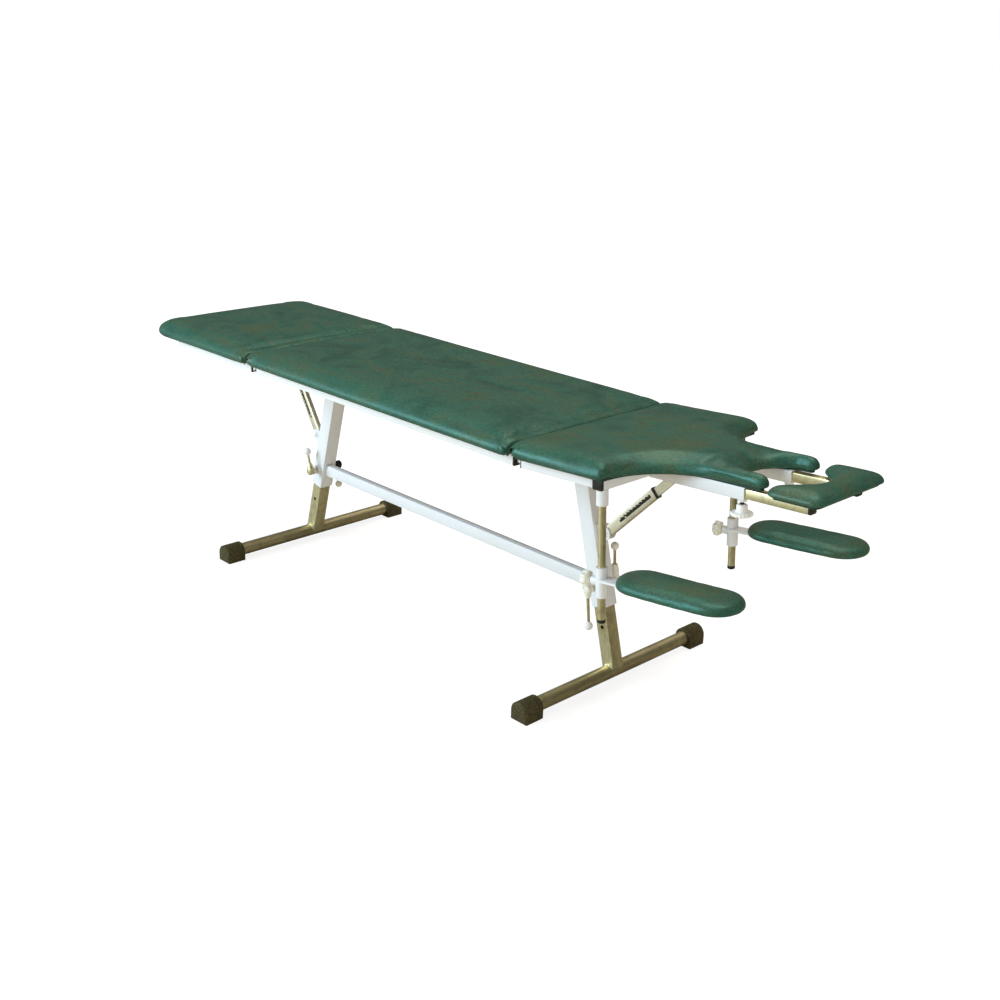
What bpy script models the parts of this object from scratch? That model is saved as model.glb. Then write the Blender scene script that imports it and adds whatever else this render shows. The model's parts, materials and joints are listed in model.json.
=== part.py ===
"""Three-section treatment table: leaning T legs, ratchet stays, hanging armrests, sliding headrest.

Metres, +Z up. +X runs to the head end, -Y is the near side. The origin is on the floor,
under the middle of the table's box.
"""

import math

import bmesh
import bpy
from mathutils import Matrix, Vector, geometry

# Fits and facets
GAP = 0.0003            # between pieces that rest on or butt against each other
SLIDE_FIT = 0.0005      # each side, square tube in square tube
TURN_FIT = 0.0003       # radial, rod in bore
ARC_SAG = 0.0004        # how far a facet may fall inside its arc
ROUND_STEPS = 20        # facets round a rod or a bore
WELD_LAP = 0.0008       # how far a lug or bracket laps into the tube it is welded to

# Table top
PAD_WIDTH = 0.500
PAD_BOTTOM = 0.537      # underside of the cushions above the floor
SEAM_GAP = 0.016        # between two cushions
FOOT_LENGTH = 0.447     # seam to foot end
FOOT_CORNER = 0.060
SEAM_CORNER = 0.012
CHEST_TILT = math.radians(3.6)

# Chest cushion, measured from its hinge
WING_END = 0.258
WING_CORNER = 0.014
ARMHOLE_RADIUS = 0.130
NECK_WIDTH = 0.195
PRONG_END = 0.507
PRONG_CORNER = 0.0142
NOTCH_WIDTH = 0.130
NOTCH_DEPTH = 0.091

# Head cushion, measured from the chest hinge
HEAD_TIP = 0.520
HEAD_END = 0.636
HEAD_WIDTH = 0.228
HEAD_CORNER = 0.020
HEAD_TIP_INNER = 0.080  # half-width where the notch starts
HEAD_TIP_CORNER = 0.012
HEAD_NOTCH_DEPTH = 0.052
HEAD_NOTCH_FLOOR = 0.028
HEAD_NOTCH_CORNER = 0.040

# Cushion section
PAD_GIRTH_LOW = 0.009   # widest from here ...
PAD_GIRTH_HIGH = 0.015  # ... to here, above the underside
PAD_ROUND = 0.020       # height of the rounded top edge
PAD_ROUND_IN = 0.018    # how far the rounded edge runs in
CHEST_ROUND_IN = 0.0125  # less, because the prongs are narrow
PAD_DRAW_IN = 0.005     # underside smaller than the girth
PAD_RIM = 0.009         # cover turned under, round the board
PAD_CROWN = 0.005
CROWN_REACH = 0.070     # the crown levels out this far in
CROWN_CELL = 0.062      # grid on the crown
THIN_GIRTH_LOW = 0.006
THIN_GIRTH_HIGH = 0.012
THIN_ROUND = 0.013
THIN_ROUND_IN = 0.012
ARM_ROUND_IN = 0.018
THIN_CROWN = 0.004
SHARPEST = 0.001        # least corner radius of a drawn-in outline
BOARD_THICK = 0.0077
HEAD_BOARD_DROP = 0.003  # head board stands this far below its cushion

# Frame tubes
RAIL_WIDTH = 0.020
RAIL_HEIGHT = 0.025
RAIL_WALL = 0.0015
RAIL_Y = 0.210
RAIL_END_GAP = 0.012    # rail end to hinge axis
CROSSBAR_WIDTH = 0.025
TUBE_CORNER = 0.0025    # outer corner radius of the square tubes
INNER_CORNER = 0.0008   # least inner corner radius
CORNER_STEPS = 2        # facets round a tube's corner
CROSSBAR_SPAN = 0.850   # between the two crossbars of the main frame
FOOT_SEAM_OUT = 0.065   # foot seam beyond the foot crossbar
CHEST_SEAM_OUT = 0.025  # chest seam beyond the head crossbar
FOOT_BAR_X = 0.157      # foot crossbar from its hinge
FOOT_RAIL_LENGTH = 0.360
CHEST_BAR_X = 0.222     # chest crossbar, which carries the armrests, from its hinge

# Hinges
HINGE_ROD_RADIUS = 0.005
LUG_RADIUS = 0.009
LUG_THICK = 0.0058
LUG_ROOT = 0.030        # length inside the rail

# Legs
LEAN = math.radians(14.6)
POST_SIZE = 0.040
POST_WALL = 0.003
POST_LENGTH = 0.358
INNER_WALL = 0.002
INNER_LAP = 0.300       # inner post inside the sleeve at rest
COPE_START = 0.006      # inner post's lower end above the foot tube's axis
INDEX_PITCH = 0.050
INDEX_HOLES = 4
INDEX_RADIUS = 0.0045
INDEX_BELOW = 0.046     # first index hole under the sleeve's mouth
FOOT_TUBE_RADIUS = 0.016
FOOT_TUBE_WALL = 0.002
FOOT_BASE = 0.588       # over the rubber boots
BOOT_LENGTH = 0.052
BOOT_SIDE = 0.007       # rubber beside the tube
BOOT_SOLE = 0.006
BOOT_END = 0.008
BOOT_RIB = 0.0012
BOOT_RIBS = 3
STRETCHER_WIDTH = 0.020
STRETCHER_HEIGHT = 0.030
STRETCHER_Z = 0.211
TUBE_WALL = 0.002

# Clamp levers
CLAMP_DROP = 0.309      # along the post, from its top
CLAMP_BOSS_RADIUS = 0.012
CLAMP_BOSS = 0.007
LEVER_HUB_RADIUS = 0.0095
LEVER_HUB = 0.016
LEVER_STUD_RADIUS = 0.004
LEVER_STUD = 0.008
LEVER_ROD_RADIUS = 0.0035
LEVER_BALL_RADIUS = 0.009
# name, leg, side, angle from straight up towards +X, reach
LEVERS = (
    ("foot_clamp_lever_near", "foot", -1, math.radians(-16), 0.053),
    ("foot_clamp_lever_far", "foot", 1, math.radians(176), 0.055),
    ("head_clamp_lever_near", "head", -1, math.radians(174), 0.086),
    ("head_clamp_lever_far", "head", 1, math.radians(-4), 0.075),
)

# Ratchet stays
STAY_WIDTH = 0.024
STAY_DEPTH = 0.013
STAY_WALL = 0.002
STAY_TAIL = 0.013       # channel past its lower pivot
STAY_SHORT = 0.072      # channel mouth to the upper pivot at rest
STAY_PIN_RADIUS = 0.004
STAY_EYE_RADIUS = 0.0115
STAY_EYE_BORE = 0.0072  # wide, because the upper pivot is the opened one
STAY_EAR = 0.004
STAY_STANDOFF = 0.0215  # lower pivot from the post's face
STAY_PIVOT_DROP = 0.0145  # upper pivot under the crossbar
STAY_LEAD = 0.014       # chest stay's upper pivot ahead of its crossbar
STAY_STUD_RADIUS = 0.002
STAY_STUD_IN = 0.012    # stud from the slider's inner end
STAY_SLOT = 0.0055
STAY_TOOTH = 0.0035
STAY_TOOTH_PITCH = 0.011
STAY_SLOT_SPARE = 0.008
HEAD_STAY_DROP = 0.193  # lower pivot along the head post
FOOT_STAY_DROP = 0.226
HEAD_STAY_TRAVEL = (-0.012, 0.082)
FOOT_STAY_TRAVEL = (0.0, 0.087)
HEAD_STAY_INNER = 0.060  # slider's inner end from the lower pivot
FOOT_STAY_INNER = 0.044

# Headrest bars and their receivers
BAR_SIZE = 0.020
BAR_WALL = 0.0015
BAR_Y = 0.075
BAR_START = 0.290
BAR_END = 0.596
BAR_FIT = 0.0004
RECEIVER_WALL = 0.0026
RECEIVER_END = 0.460
PLUG_CAP = 0.006
PLUG_DEPTH = 0.012
PLUG_FIT = 0.0003
PLUG_EDGE = 0.0012
LOCK_X = 0.448
LOCK_DISC_RADIUS = 0.022
LOCK_DISC = 0.007
LOCK_HUB_RADIUS = 0.011
LOCK_HUB = 0.015
LOCK_STEM_RADIUS = 0.004
LOCK_STEM = 0.006
LOCK_BOSS_RADIUS = 0.009
LOCK_BOSS = 0.005

# Armrests
ARM_ROD_RADIUS = 0.008
ARM_ROD_LENGTH = 0.270
SOCKET_RADIUS = 0.012
SOCKET_LENGTH = 0.032
SOCKET_HEADROOM = 0.003
SLEEVE_RADIUS = 0.012
SLEEVE_LENGTH = 0.062
SLEEVE_DROP = 0.215     # sleeve's middle under the chest cushion
ARM_PLATE_WIDTH = 0.030
ARM_PLATE_THICK = 0.005
ARM_PLATE_END = 0.240
ARM_PLATE_RISE = 0.009  # plate's top above the sleeve's middle
ARM_PAD_START = 0.045   # from the rod
ARM_PAD_LENGTH = 0.263
ARM_PAD_WIDTH = 0.110
ARM_PAD_CORNER = 0.053
KNOB_BOSS_RADIUS = 0.009
KNOB_BOSS = 0.010       # boss beyond the sleeve
KNOB_STEM_RADIUS = 0.004
KNOB_STEM = 0.008
KNOB_RADIUS = 0.0165
KNOB_LOBE = 0.0022
KNOB_LOBES = 6
KNOB_THICK = 0.013
KNOB_EDGE = 0.002
# side, swivel at rest (from straight ahead, towards +Y)
ARMS = (("near", -1, math.radians(6.5)), ("far", 1, math.radians(6)))

SIDES = (("near", -1), ("far", 1))

# Heights and places that follow from the sizes above
RAIL_TOP = PAD_BOTTOM - GAP
RAIL_Z = RAIL_TOP - RAIL_HEIGHT / 2
RAIL_DROP = PAD_BOTTOM - RAIL_Z
POST_TOP = RAIL_TOP - RAIL_HEIGHT - GAP
POST_X = CROSSBAR_SPAN / 2
SEAM_FOOT = -POST_X - FOOT_SEAM_OUT
SEAM_CHEST = POST_X + CHEST_SEAM_OUT
FOOT_TUBE_Z = FOOT_TUBE_RADIUS + BOOT_SOLE
INNER_SIZE = POST_SIZE - 2 * POST_WALL - 2 * SLIDE_FIT
RECEIVER_SIZE = BAR_SIZE + 2 * BAR_FIT + 2 * RECEIVER_WALL
RECEIVER_Z = -GAP - RECEIVER_SIZE / 2
FOOT_CUSHION_END = SEAM_FOOT - FOOT_LENGTH
HEAD_CUSHION_END = (SEAM_CHEST + HEAD_END * math.cos(CHEST_TILT)
                    - THIN_GIRTH_LOW * math.sin(CHEST_TILT))
TABLE_MIDDLE = (FOOT_CUSHION_END + HEAD_CUSHION_END) / 2

# Cushion sections: girth from and to, rounding, how far it runs in, crown
THICK_SECTION = (PAD_GIRTH_LOW, PAD_GIRTH_HIGH, PAD_ROUND, PAD_ROUND_IN, PAD_CROWN)
CHEST_SECTION = (PAD_GIRTH_LOW, PAD_GIRTH_HIGH, PAD_ROUND, CHEST_ROUND_IN, PAD_CROWN)
HEAD_SECTION = (THIN_GIRTH_LOW, THIN_GIRTH_HIGH, THIN_ROUND, THIN_ROUND_IN, THIN_CROWN)
ARM_SECTION = (THIN_GIRTH_LOW, THIN_GIRTH_HIGH, THIN_ROUND, ARM_ROUND_IN, THIN_CROWN)

# Finishes: colour, roughness, metallic
FINISHES = {
    "leatherette": ((0.035, 0.135, 0.100), 0.42, 0.0),
    "plywood": ((0.520, 0.370, 0.220), 0.70, 0.0),
    "white_paint": ((0.830, 0.840, 0.860), 0.35, 0.0),
    "plated_steel": ((0.560, 0.520, 0.430), 0.28, 1.0),
    "rubber": ((0.030, 0.026, 0.020), 0.80, 0.0),
    "cream_plastic": ((0.780, 0.740, 0.640), 0.40, 0.0),
    "white_plastic": ((0.850, 0.850, 0.840), 0.35, 0.0),
    "black_plastic": ((0.018, 0.017, 0.016), 0.50, 0.0),
}


def clear_scene():
    """Remove whatever the file opened with."""
    for obj in list(bpy.data.objects):
        bpy.data.objects.remove(obj, do_unlink=True)


def finish_for(name, finish):
    """A Principled material for one piece."""
    colour, roughness, metallic = FINISHES[finish]
    material = bpy.data.materials.new(f"{name}_{finish}")
    material.use_nodes = True
    shader = material.node_tree.nodes["Principled BSDF"]
    shader.inputs["Base Color"].default_value = (*colour, 1.0)
    shader.inputs["Roughness"].default_value = roughness
    shader.inputs["Metallic"].default_value = metallic
    material.diffuse_color = (*colour, 1.0)
    return material


def empty(name, parent=None, location=(0, 0, 0), turn_y=0.0, turn_z=0.0):
    """An axis or frame that pieces hang from."""
    axis = bpy.data.objects.new(name, None)
    bpy.context.collection.objects.link(axis)
    axis.empty_display_size = 0.05
    axis.parent = parent
    axis.location = location
    axis.rotation_euler = (0.0, turn_y, turn_z)
    return axis


def place(name, bm, parent, location):
    """Make an object of a bmesh, with its faces outward and its round faces smooth."""
    bmesh.ops.recalc_face_normals(bm, faces=bm.faces)
    mesh = bpy.data.meshes.new(name)
    bm.to_mesh(mesh)
    bm.free()
    mesh.shade_smooth()
    mesh.set_sharp_from_angle(angle=math.radians(35))
    obj = bpy.data.objects.new(name, mesh)
    bpy.context.collection.objects.link(obj)
    obj.parent = parent
    obj.location = location
    return obj


def piece(name, bm, finish, parent, location=(0, 0, 0)):
    """A finished piece of the table."""
    obj = place(name, bm, parent, location)
    obj.data.materials.append(finish_for(name, finish))
    return obj


def combine(target, operation, bm, parent, location=(0, 0, 0)):
    """Weld a shape to a piece (UNION) or cut it away (DIFFERENCE)."""
    count = len(target.modifiers)
    tool = place(f"{target.name}_{operation.lower()}_{count}", bm, parent, location)
    tool.hide_render = True
    tool.display_type = "WIRE"
    boolean = target.modifiers.new(tool.name, "BOOLEAN")
    boolean.operation = operation
    boolean.solver = "EXACT"
    boolean.object = tool


def along(axis, a, b, offset):
    """Point with plane coordinates a, b and an offset along the given axis."""
    return {"x": (offset, a, b), "y": (a, offset, b), "z": (a, b, offset)}[axis]


def prism(outline, axis, start, end, bm=None):
    """Outline swept straight along an axis, added to a bmesh or in one of its own."""
    if bm is None:
        bm = bmesh.new()
    face = bm.faces.new([bm.verts.new(along(axis, a, b, start)) for a, b in outline])
    swept = bmesh.ops.extrude_face_region(bm, geom=[face])["geom"]
    moved = [item for item in swept if isinstance(item, bmesh.types.BMVert)]
    bmesh.ops.translate(bm, verts=moved, vec=along(axis, 0, 0, end - start))
    return bm


def skin(rings, closed=False):
    """Bridge each ring of points to the next, with end caps unless the skin closes on itself."""
    bm = bmesh.new()
    loops = [[bm.verts.new(point) for point in ring] for ring in rings]
    pairs = list(zip(loops, loops[1:]))
    if closed:
        pairs.append((loops[-1], loops[0]))
    else:
        bm.faces.new(loops[0])
        bm.faces.new(loops[-1])
    for first, second in pairs:
        for i in range(len(first)):
            j = (i + 1) % len(first)
            bm.faces.new((first[i], first[j], second[j], second[i]))
    return bm


def tube(outer, inner, axis, start, end):
    """Open-ended tube between two outlines with equal point counts."""
    rings = [
        [along(axis, a, b, offset) for a, b in outline]
        for outline, offset in ((outer, start), (outer, end), (inner, end), (inner, start))
    ]
    return skin(rings, closed=True)


def circle(radius, a=0.0, b=0.0, steps=ROUND_STEPS):
    """Points round a circle."""
    turns = [2 * math.pi * i / steps for i in range(steps)]
    return [(a + radius * math.cos(turn), b + radius * math.sin(turn)) for turn in turns]


def rectangle(width, height, a=0.0, b=0.0):
    """Corners of a rectangle round a point."""
    w, h = width / 2, height / 2
    return [(a - w, b - h), (a + w, b - h), (a + w, b + h), (a - w, b + h)]


def tube_section(width, height, radius):
    """Rectangle with rounded corners, of the same point count at any size."""
    outline = []
    for quarter, (a, b) in enumerate(rectangle(width - 2 * radius, height - 2 * radius)):
        for step in range(CORNER_STEPS + 1):
            turn = math.pi * (1 + (quarter + step / CORNER_STEPS) / 2)
            outline.append((a + radius * math.cos(turn), b + radius * math.sin(turn)))
    return outline


def square_tube(width, height, wall, axis, start, end):
    """Rectangular tube of one wall thickness with rounded corners."""
    outer = tube_section(width, height, TUBE_CORNER)
    inner = tube_section(width - 2 * wall, height - 2 * wall, max(TUBE_CORNER - wall, INNER_CORNER))
    return tube(outer, inner, axis, start, end)


def lathe(profile):
    """Turned shape from (radius, height) points that start and end on the Z axis."""
    bm = bmesh.new()
    points = [bm.verts.new((radius, 0, height)) for radius, height in profile]
    edges = [bm.edges.new(pair) for pair in zip(points, points[1:])]
    bmesh.ops.spin(bm, geom=points + edges, cent=(0, 0, 0), axis=(0, 0, 1),
                   angle=2 * math.pi, steps=ROUND_STEPS, use_merge=True)
    bmesh.ops.remove_doubles(bm, verts=bm.verts, dist=1e-6)
    return bm


def turned(bm, rotation):
    """The same shape, turned."""
    bmesh.ops.transform(bm, matrix=rotation.to_4x4(), verts=bm.verts)
    return bm


def winding(corners):
    """1 for an outline that runs anticlockwise, else -1."""
    pairs = zip(corners, corners[1:] + corners[:1])
    return math.copysign(1.0, sum(a[0] * b[1] - b[0] * a[1] for a, b in pairs))


def rounded(corners, inward=0.0):
    """Closed outline through corners (x, y, radius), each an arc tangent to its two sides.

    With inward the outline is drawn in by that much all round, with the same point count.
    """
    outline = []
    for i, (x, y, radius) in enumerate(corners):
        corner = Vector((x, y))
        back = (Vector(corners[i - 1][:2]) - corner).normalized()
        ahead = (Vector(corners[(i + 1) % len(corners)][:2]) - corner).normalized()
        half = back.angle(ahead) / 2
        bisector = (back + ahead).normalized() / math.sin(half)
        first = back / math.tan(half) - bisector
        last = ahead / math.tan(half) - bisector
        sweep = math.copysign(math.pi - 2 * half, first.cross(last))
        bulge = math.copysign(1.0, sweep * winding(corners))
        drawn = max(radius - bulge * inward, SHARPEST) if inward else radius
        centre = corner + bisector * (bulge * inward + drawn)
        steps = max(2, math.ceil(abs(sweep) / (2 * math.acos(1 - ARC_SAG / radius))))
        for step in range(steps + 1):
            spoke = Matrix.Rotation(sweep * step / steps, 2) @ first
            outline.append(tuple(centre + spoke * drawn))
    return outline


def mirrored(half):
    """Outline corners of one side, followed by their mirror images across the middle line."""
    return half + [(x, -y, radius) for x, y, radius in reversed(half)]


def swell(bm, face, height, reach):
    """Cut a level face into cells and raise them into a crown that starts at its edge."""
    cells = [face, *face.edges, *face.verts]
    for axis in (0, 1):
        spread = [vert.co[axis] for vert in face.verts]
        low, high = min(spread), max(spread)
        count = max(2, round((high - low) / CROWN_CELL))
        normal = Vector((axis == 0, axis == 1, 0))
        for k in range(1, count):
            level = normal * (low + (high - low) * k / count)
            cells = bmesh.ops.bisect_plane(bm, geom=cells, dist=0.0005,
                                           plane_co=level, plane_no=normal)["geom"]
    faces = {item for item in cells if isinstance(item, bmesh.types.BMFace)}
    verts = {vert for cell in faces for vert in cell.verts}
    edges = {edge for cell in faces for edge in cell.edges}
    rim = [edge for edge in edges if not faces.issuperset(edge.link_faces)]
    rim_verts = {vert for edge in rim for vert in edge.verts}
    for vert in verts - rim_verts:
        distance = min(edge_distance(vert.co, edge) for edge in rim)
        share = 1 - min(1.0, distance / reach)
        vert.co.z += height * (1 - share * share)


def edge_distance(point, edge):
    """Distance from a point to an edge."""
    start, end = edge.verts[0].co, edge.verts[1].co
    foot, share = geometry.intersect_point_line(point, start, end)
    foot = start.lerp(end, min(1.0, max(0.0, share)))
    return (point - foot).length


def cushion(corners, section, recess):
    """Crowned cushion: drawn-in underside, girth, rounded top edge, recess for its board."""
    girth_low, girth_high, rounding, round_in, crown = section
    levels = [(PAD_RIM, recess), (PAD_RIM, 0.0)] if recess else []
    for turn in (math.radians(angle) for angle in (90, 45, 0)):
        levels.append((PAD_DRAW_IN * (1 - math.cos(turn)), girth_low * (1 - math.sin(turn))))
    for turn in (math.radians(angle) for angle in (0, 32, 62, 90)):
        levels.append((round_in * (1 - math.cos(turn)), girth_high + rounding * math.sin(turn)))
    bm = skin([[(x, y, z) for x, y in rounded(corners, inward)] for inward, z in levels])
    top = max(bm.faces, key=lambda face: face.calc_center_median().z)
    swell(bm, top, crown, CROWN_REACH)
    return bm


def upholster(name, corners, parent, section, drop=0.0):
    """A cushion and the board that it is stretched over."""
    piece(f"{name}_cushion", cushion(corners, section, BOARD_THICK + GAP), "leatherette", parent)
    board = prism(rounded(corners, PAD_RIM + GAP), "z", -drop, BOARD_THICK)
    piece(f"{name}_board", board, "plywood", parent)


def lug_outline(toward):
    """Hinge lug beside a rail's end, in X and Z from the hinge axis; toward is its rail's direction."""
    half = RAIL_HEIGHT / 2 - RAIL_WALL + WELD_LAP
    low, high = -RAIL_DROP - half, -RAIL_DROP + half
    start, root = RAIL_END_GAP, RAIL_END_GAP + LUG_ROOT
    head = [math.radians(30 + 210 * i / 10) for i in range(11)]
    nose = [(LUG_RADIUS * math.cos(turn), LUG_RADIUS * math.sin(turn)) for turn in head]
    outline = [(root, low), (root, high), (start, high), *nose, (start, low)]
    return [(toward * x, z) for x, z in outline]


def hinge_lug(rail, parent, axis_x, rail_y, toward, lane):
    """Weld one lug into a rail's end and bore it for the hinge rod; lane is -1 or 1 across the rail."""
    inner = GAP
    outer = inner + LUG_THICK
    lug = prism(lug_outline(toward), "y", lane * inner, lane * outer)
    combine(rail, "UNION", lug, parent, (axis_x, rail_y, 0))
    bore = prism(circle(HINGE_ROD_RADIUS + TURN_FIT), "y", -RAIL_WIDTH, RAIL_WIDTH)
    combine(rail, "DIFFERENCE", bore, parent, (axis_x, rail_y, 0))


def plug(name, width, height, wall, axis, outward, parent, location):
    """Push-in end cap for a square tube that runs along an axis; outward is its cap's direction."""
    shank_w = width - 2 * wall - 2 * PLUG_FIT
    shank_h = height - 2 * wall - 2 * PLUG_FIT
    shank = tube_section(shank_w, shank_h, max(TUBE_CORNER - wall, INNER_CORNER))
    cap = tube_section(width, height, TUBE_CORNER)
    crown = tube_section(width - 2 * PLUG_EDGE, height - 2 * PLUG_EDGE, TUBE_CORNER)
    levels = ((shank, -PLUG_DEPTH), (shank, GAP), (cap, GAP), (cap, PLUG_CAP - PLUG_EDGE),
              (crown, PLUG_CAP))
    rings = [[along(axis, a, b, outward * reach) for a, b in section] for section, reach in levels]
    piece(name, skin(rings), "black_plastic", parent, location)


def build_main_section(root):
    """Fixed frame with its cushion, and the rods of both hinges."""
    level = empty("main_section", root, (0, 0, PAD_BOTTOM))
    for side, sign in SIDES:
        start, end = SEAM_FOOT + RAIL_END_GAP, SEAM_CHEST - RAIL_END_GAP
        bm = square_tube(RAIL_WIDTH, RAIL_HEIGHT, RAIL_WALL, "x", start, end)
        rail = piece(f"main_rail_{side}", bm, "white_paint", level, (0, sign * RAIL_Y, -RAIL_DROP))
        hinge_lug(rail, level, SEAM_FOOT, sign * RAIL_Y, 1, -sign)
        hinge_lug(rail, level, SEAM_CHEST, sign * RAIL_Y, -1, -sign)
    bar_end = RAIL_Y - RAIL_WIDTH / 2 - GAP
    for end, x in (("foot", -POST_X), ("head", POST_X)):
        bm = square_tube(CROSSBAR_WIDTH, RAIL_HEIGHT, RAIL_WALL, "y", -bar_end, bar_end)
        piece(f"main_crossbar_{end}", bm, "white_paint", level, (x, 0, -RAIL_DROP))
    rod_end = RAIL_Y + RAIL_WIDTH / 2
    for name, x in (("foot_hinge_rod", SEAM_FOOT), ("chest_hinge_rod", SEAM_CHEST)):
        bm = prism(circle(HINGE_ROD_RADIUS), "y", -rod_end, rod_end)
        piece(name, bm, "plated_steel", level, (x, 0, 0))
    low, high = SEAM_FOOT + SEAM_GAP / 2, SEAM_CHEST - SEAM_GAP / 2
    half = PAD_WIDTH / 2
    corners = mirrored([(low, half, SEAM_CORNER), (high, half, SEAM_CORNER)])
    upholster("main", corners, level, THICK_SECTION)


def section_rails(section, parent, toward, length):
    """Two rails of a folding section, each with its hinge lug; toward is the section's direction."""
    for side, sign in SIDES:
        ends = sorted((toward * RAIL_END_GAP, toward * length))
        bm = square_tube(RAIL_WIDTH, RAIL_HEIGHT, RAIL_WALL, "x", *ends)
        rail = piece(f"{section}_rail_{side}", bm, "white_paint", parent,
                     (0, sign * RAIL_Y, -RAIL_DROP))
        hinge_lug(rail, parent, 0, sign * RAIL_Y, toward, sign)


def stay_crossbar(section, parent, x, bar_end, lead=0.0):
    """Crossbar of a folding section with the two ears and the pin that hold a stay's eye.

    The pin stands ahead of the bar's middle by the lead.
    """
    bm = square_tube(CROSSBAR_WIDTH, RAIL_HEIGHT, RAIL_WALL, "y", -bar_end, bar_end)
    bar = piece(f"{section}_crossbar", bm, "white_paint", parent, (x, 0, -RAIL_DROP))
    slider = STAY_DEPTH - 2 * STAY_WALL - 2 * SLIDE_FIT
    inner = slider / 2 + SLIDE_FIT
    low, high = -RAIL_HEIGHT / 2 - STAY_PIVOT_DROP, -RAIL_HEIGHT / 2 + WELD_LAP
    half = STAY_EYE_RADIUS
    knee = [(lead + half, low + half, ARC_SAG)] if lead else []
    ear = rounded([(lead - half, low - half, half - GAP), (lead + half, low - half, half - GAP), *knee,
                   (half, high, ARC_SAG), (-half, high, ARC_SAG)])
    for sign in (-1, 1):
        bm = prism(ear, "y", sign * inner, sign * (inner + STAY_EAR))
        combine(bar, "UNION", bm, parent, (x, 0, -RAIL_DROP))
    reach = inner + STAY_EAR / 2
    pin = prism(circle(STAY_PIN_RADIUS, lead, low), "y", -reach, reach)
    combine(bar, "UNION", pin, parent, (x, 0, -RAIL_DROP))


def build_foot_section(root):
    """Foot section on its hinge."""
    hinge = empty("foot_section", root, (SEAM_FOOT, 0, PAD_BOTTOM))
    section_rails("foot", hinge, -1, FOOT_RAIL_LENGTH)
    stay_crossbar("foot", hinge, -FOOT_BAR_X, RAIL_Y - RAIL_WIDTH / 2 - GAP)
    half = PAD_WIDTH / 2
    near, far = -SEAM_GAP / 2, -FOOT_LENGTH
    corners = mirrored([(near, half, SEAM_CORNER), (far, half, FOOT_CORNER)])
    upholster("foot", corners, hinge, THICK_SECTION)


def chest_corners():
    """Corners of the chest cushion: wings, armholes, prongs and face notch."""
    half, neck, notch = PAD_WIDTH / 2, NECK_WIDTH / 2, NOTCH_WIDTH / 2
    floor = PRONG_END - NOTCH_DEPTH
    return mirrored([
        (SEAM_GAP / 2, half, SEAM_CORNER),
        (WING_END, half, WING_CORNER),
        (WING_END, neck, ARMHOLE_RADIUS),
        (PRONG_END, neck, PRONG_CORNER),
        (PRONG_END, notch, PRONG_CORNER),
        (floor, notch, notch - GAP),
    ])


def build_chest_section(root):
    """Chest section on its hinge, with sockets for the armrests and receivers for the headrest."""
    hinge = empty("chest_section", root, (SEAM_CHEST, 0, PAD_BOTTOM), turn_y=-CHEST_TILT)
    bar_end = RAIL_Y + RAIL_WIDTH / 2
    section_rails("chest", hinge, 1, CHEST_BAR_X - CROSSBAR_WIDTH / 2 - GAP)
    stay_crossbar("chest", hinge, CHEST_BAR_X, bar_end, STAY_LEAD)
    upholster("chest", chest_corners(), hinge, CHEST_SECTION)
    socket_top = -RAIL_DROP - RAIL_HEIGHT / 2 - GAP
    start = CHEST_BAR_X + CROSSBAR_WIDTH / 2 + GAP
    for side, sign in SIDES:
        plug(f"chest_rail_plug_{side}", CROSSBAR_WIDTH, RAIL_HEIGHT, RAIL_WALL, "y", sign, hinge,
             (CHEST_BAR_X, sign * bar_end, -RAIL_DROP))
        bm = tube(circle(SOCKET_RADIUS), circle(ARM_ROD_RADIUS + TURN_FIT), "z",
                  socket_top - SOCKET_LENGTH, socket_top)
        piece(f"armrest_socket_{side}", bm, "white_paint", hinge, (CHEST_BAR_X, sign * RAIL_Y, 0))
        bm = square_tube(RECEIVER_SIZE, RECEIVER_SIZE, RECEIVER_WALL, "x", start, RECEIVER_END)
        receiver = piece(f"bar_receiver_{side}", bm, "white_paint", hinge,
                         (0, sign * BAR_Y, RECEIVER_Z))
        bottom = -RECEIVER_SIZE / 2
        boss = prism(circle(LOCK_BOSS_RADIUS), "z", bottom - LOCK_BOSS, bottom + WELD_LAP)
        combine(receiver, "UNION", boss, hinge, (LOCK_X, sign * BAR_Y, RECEIVER_Z))
    return hinge


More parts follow.
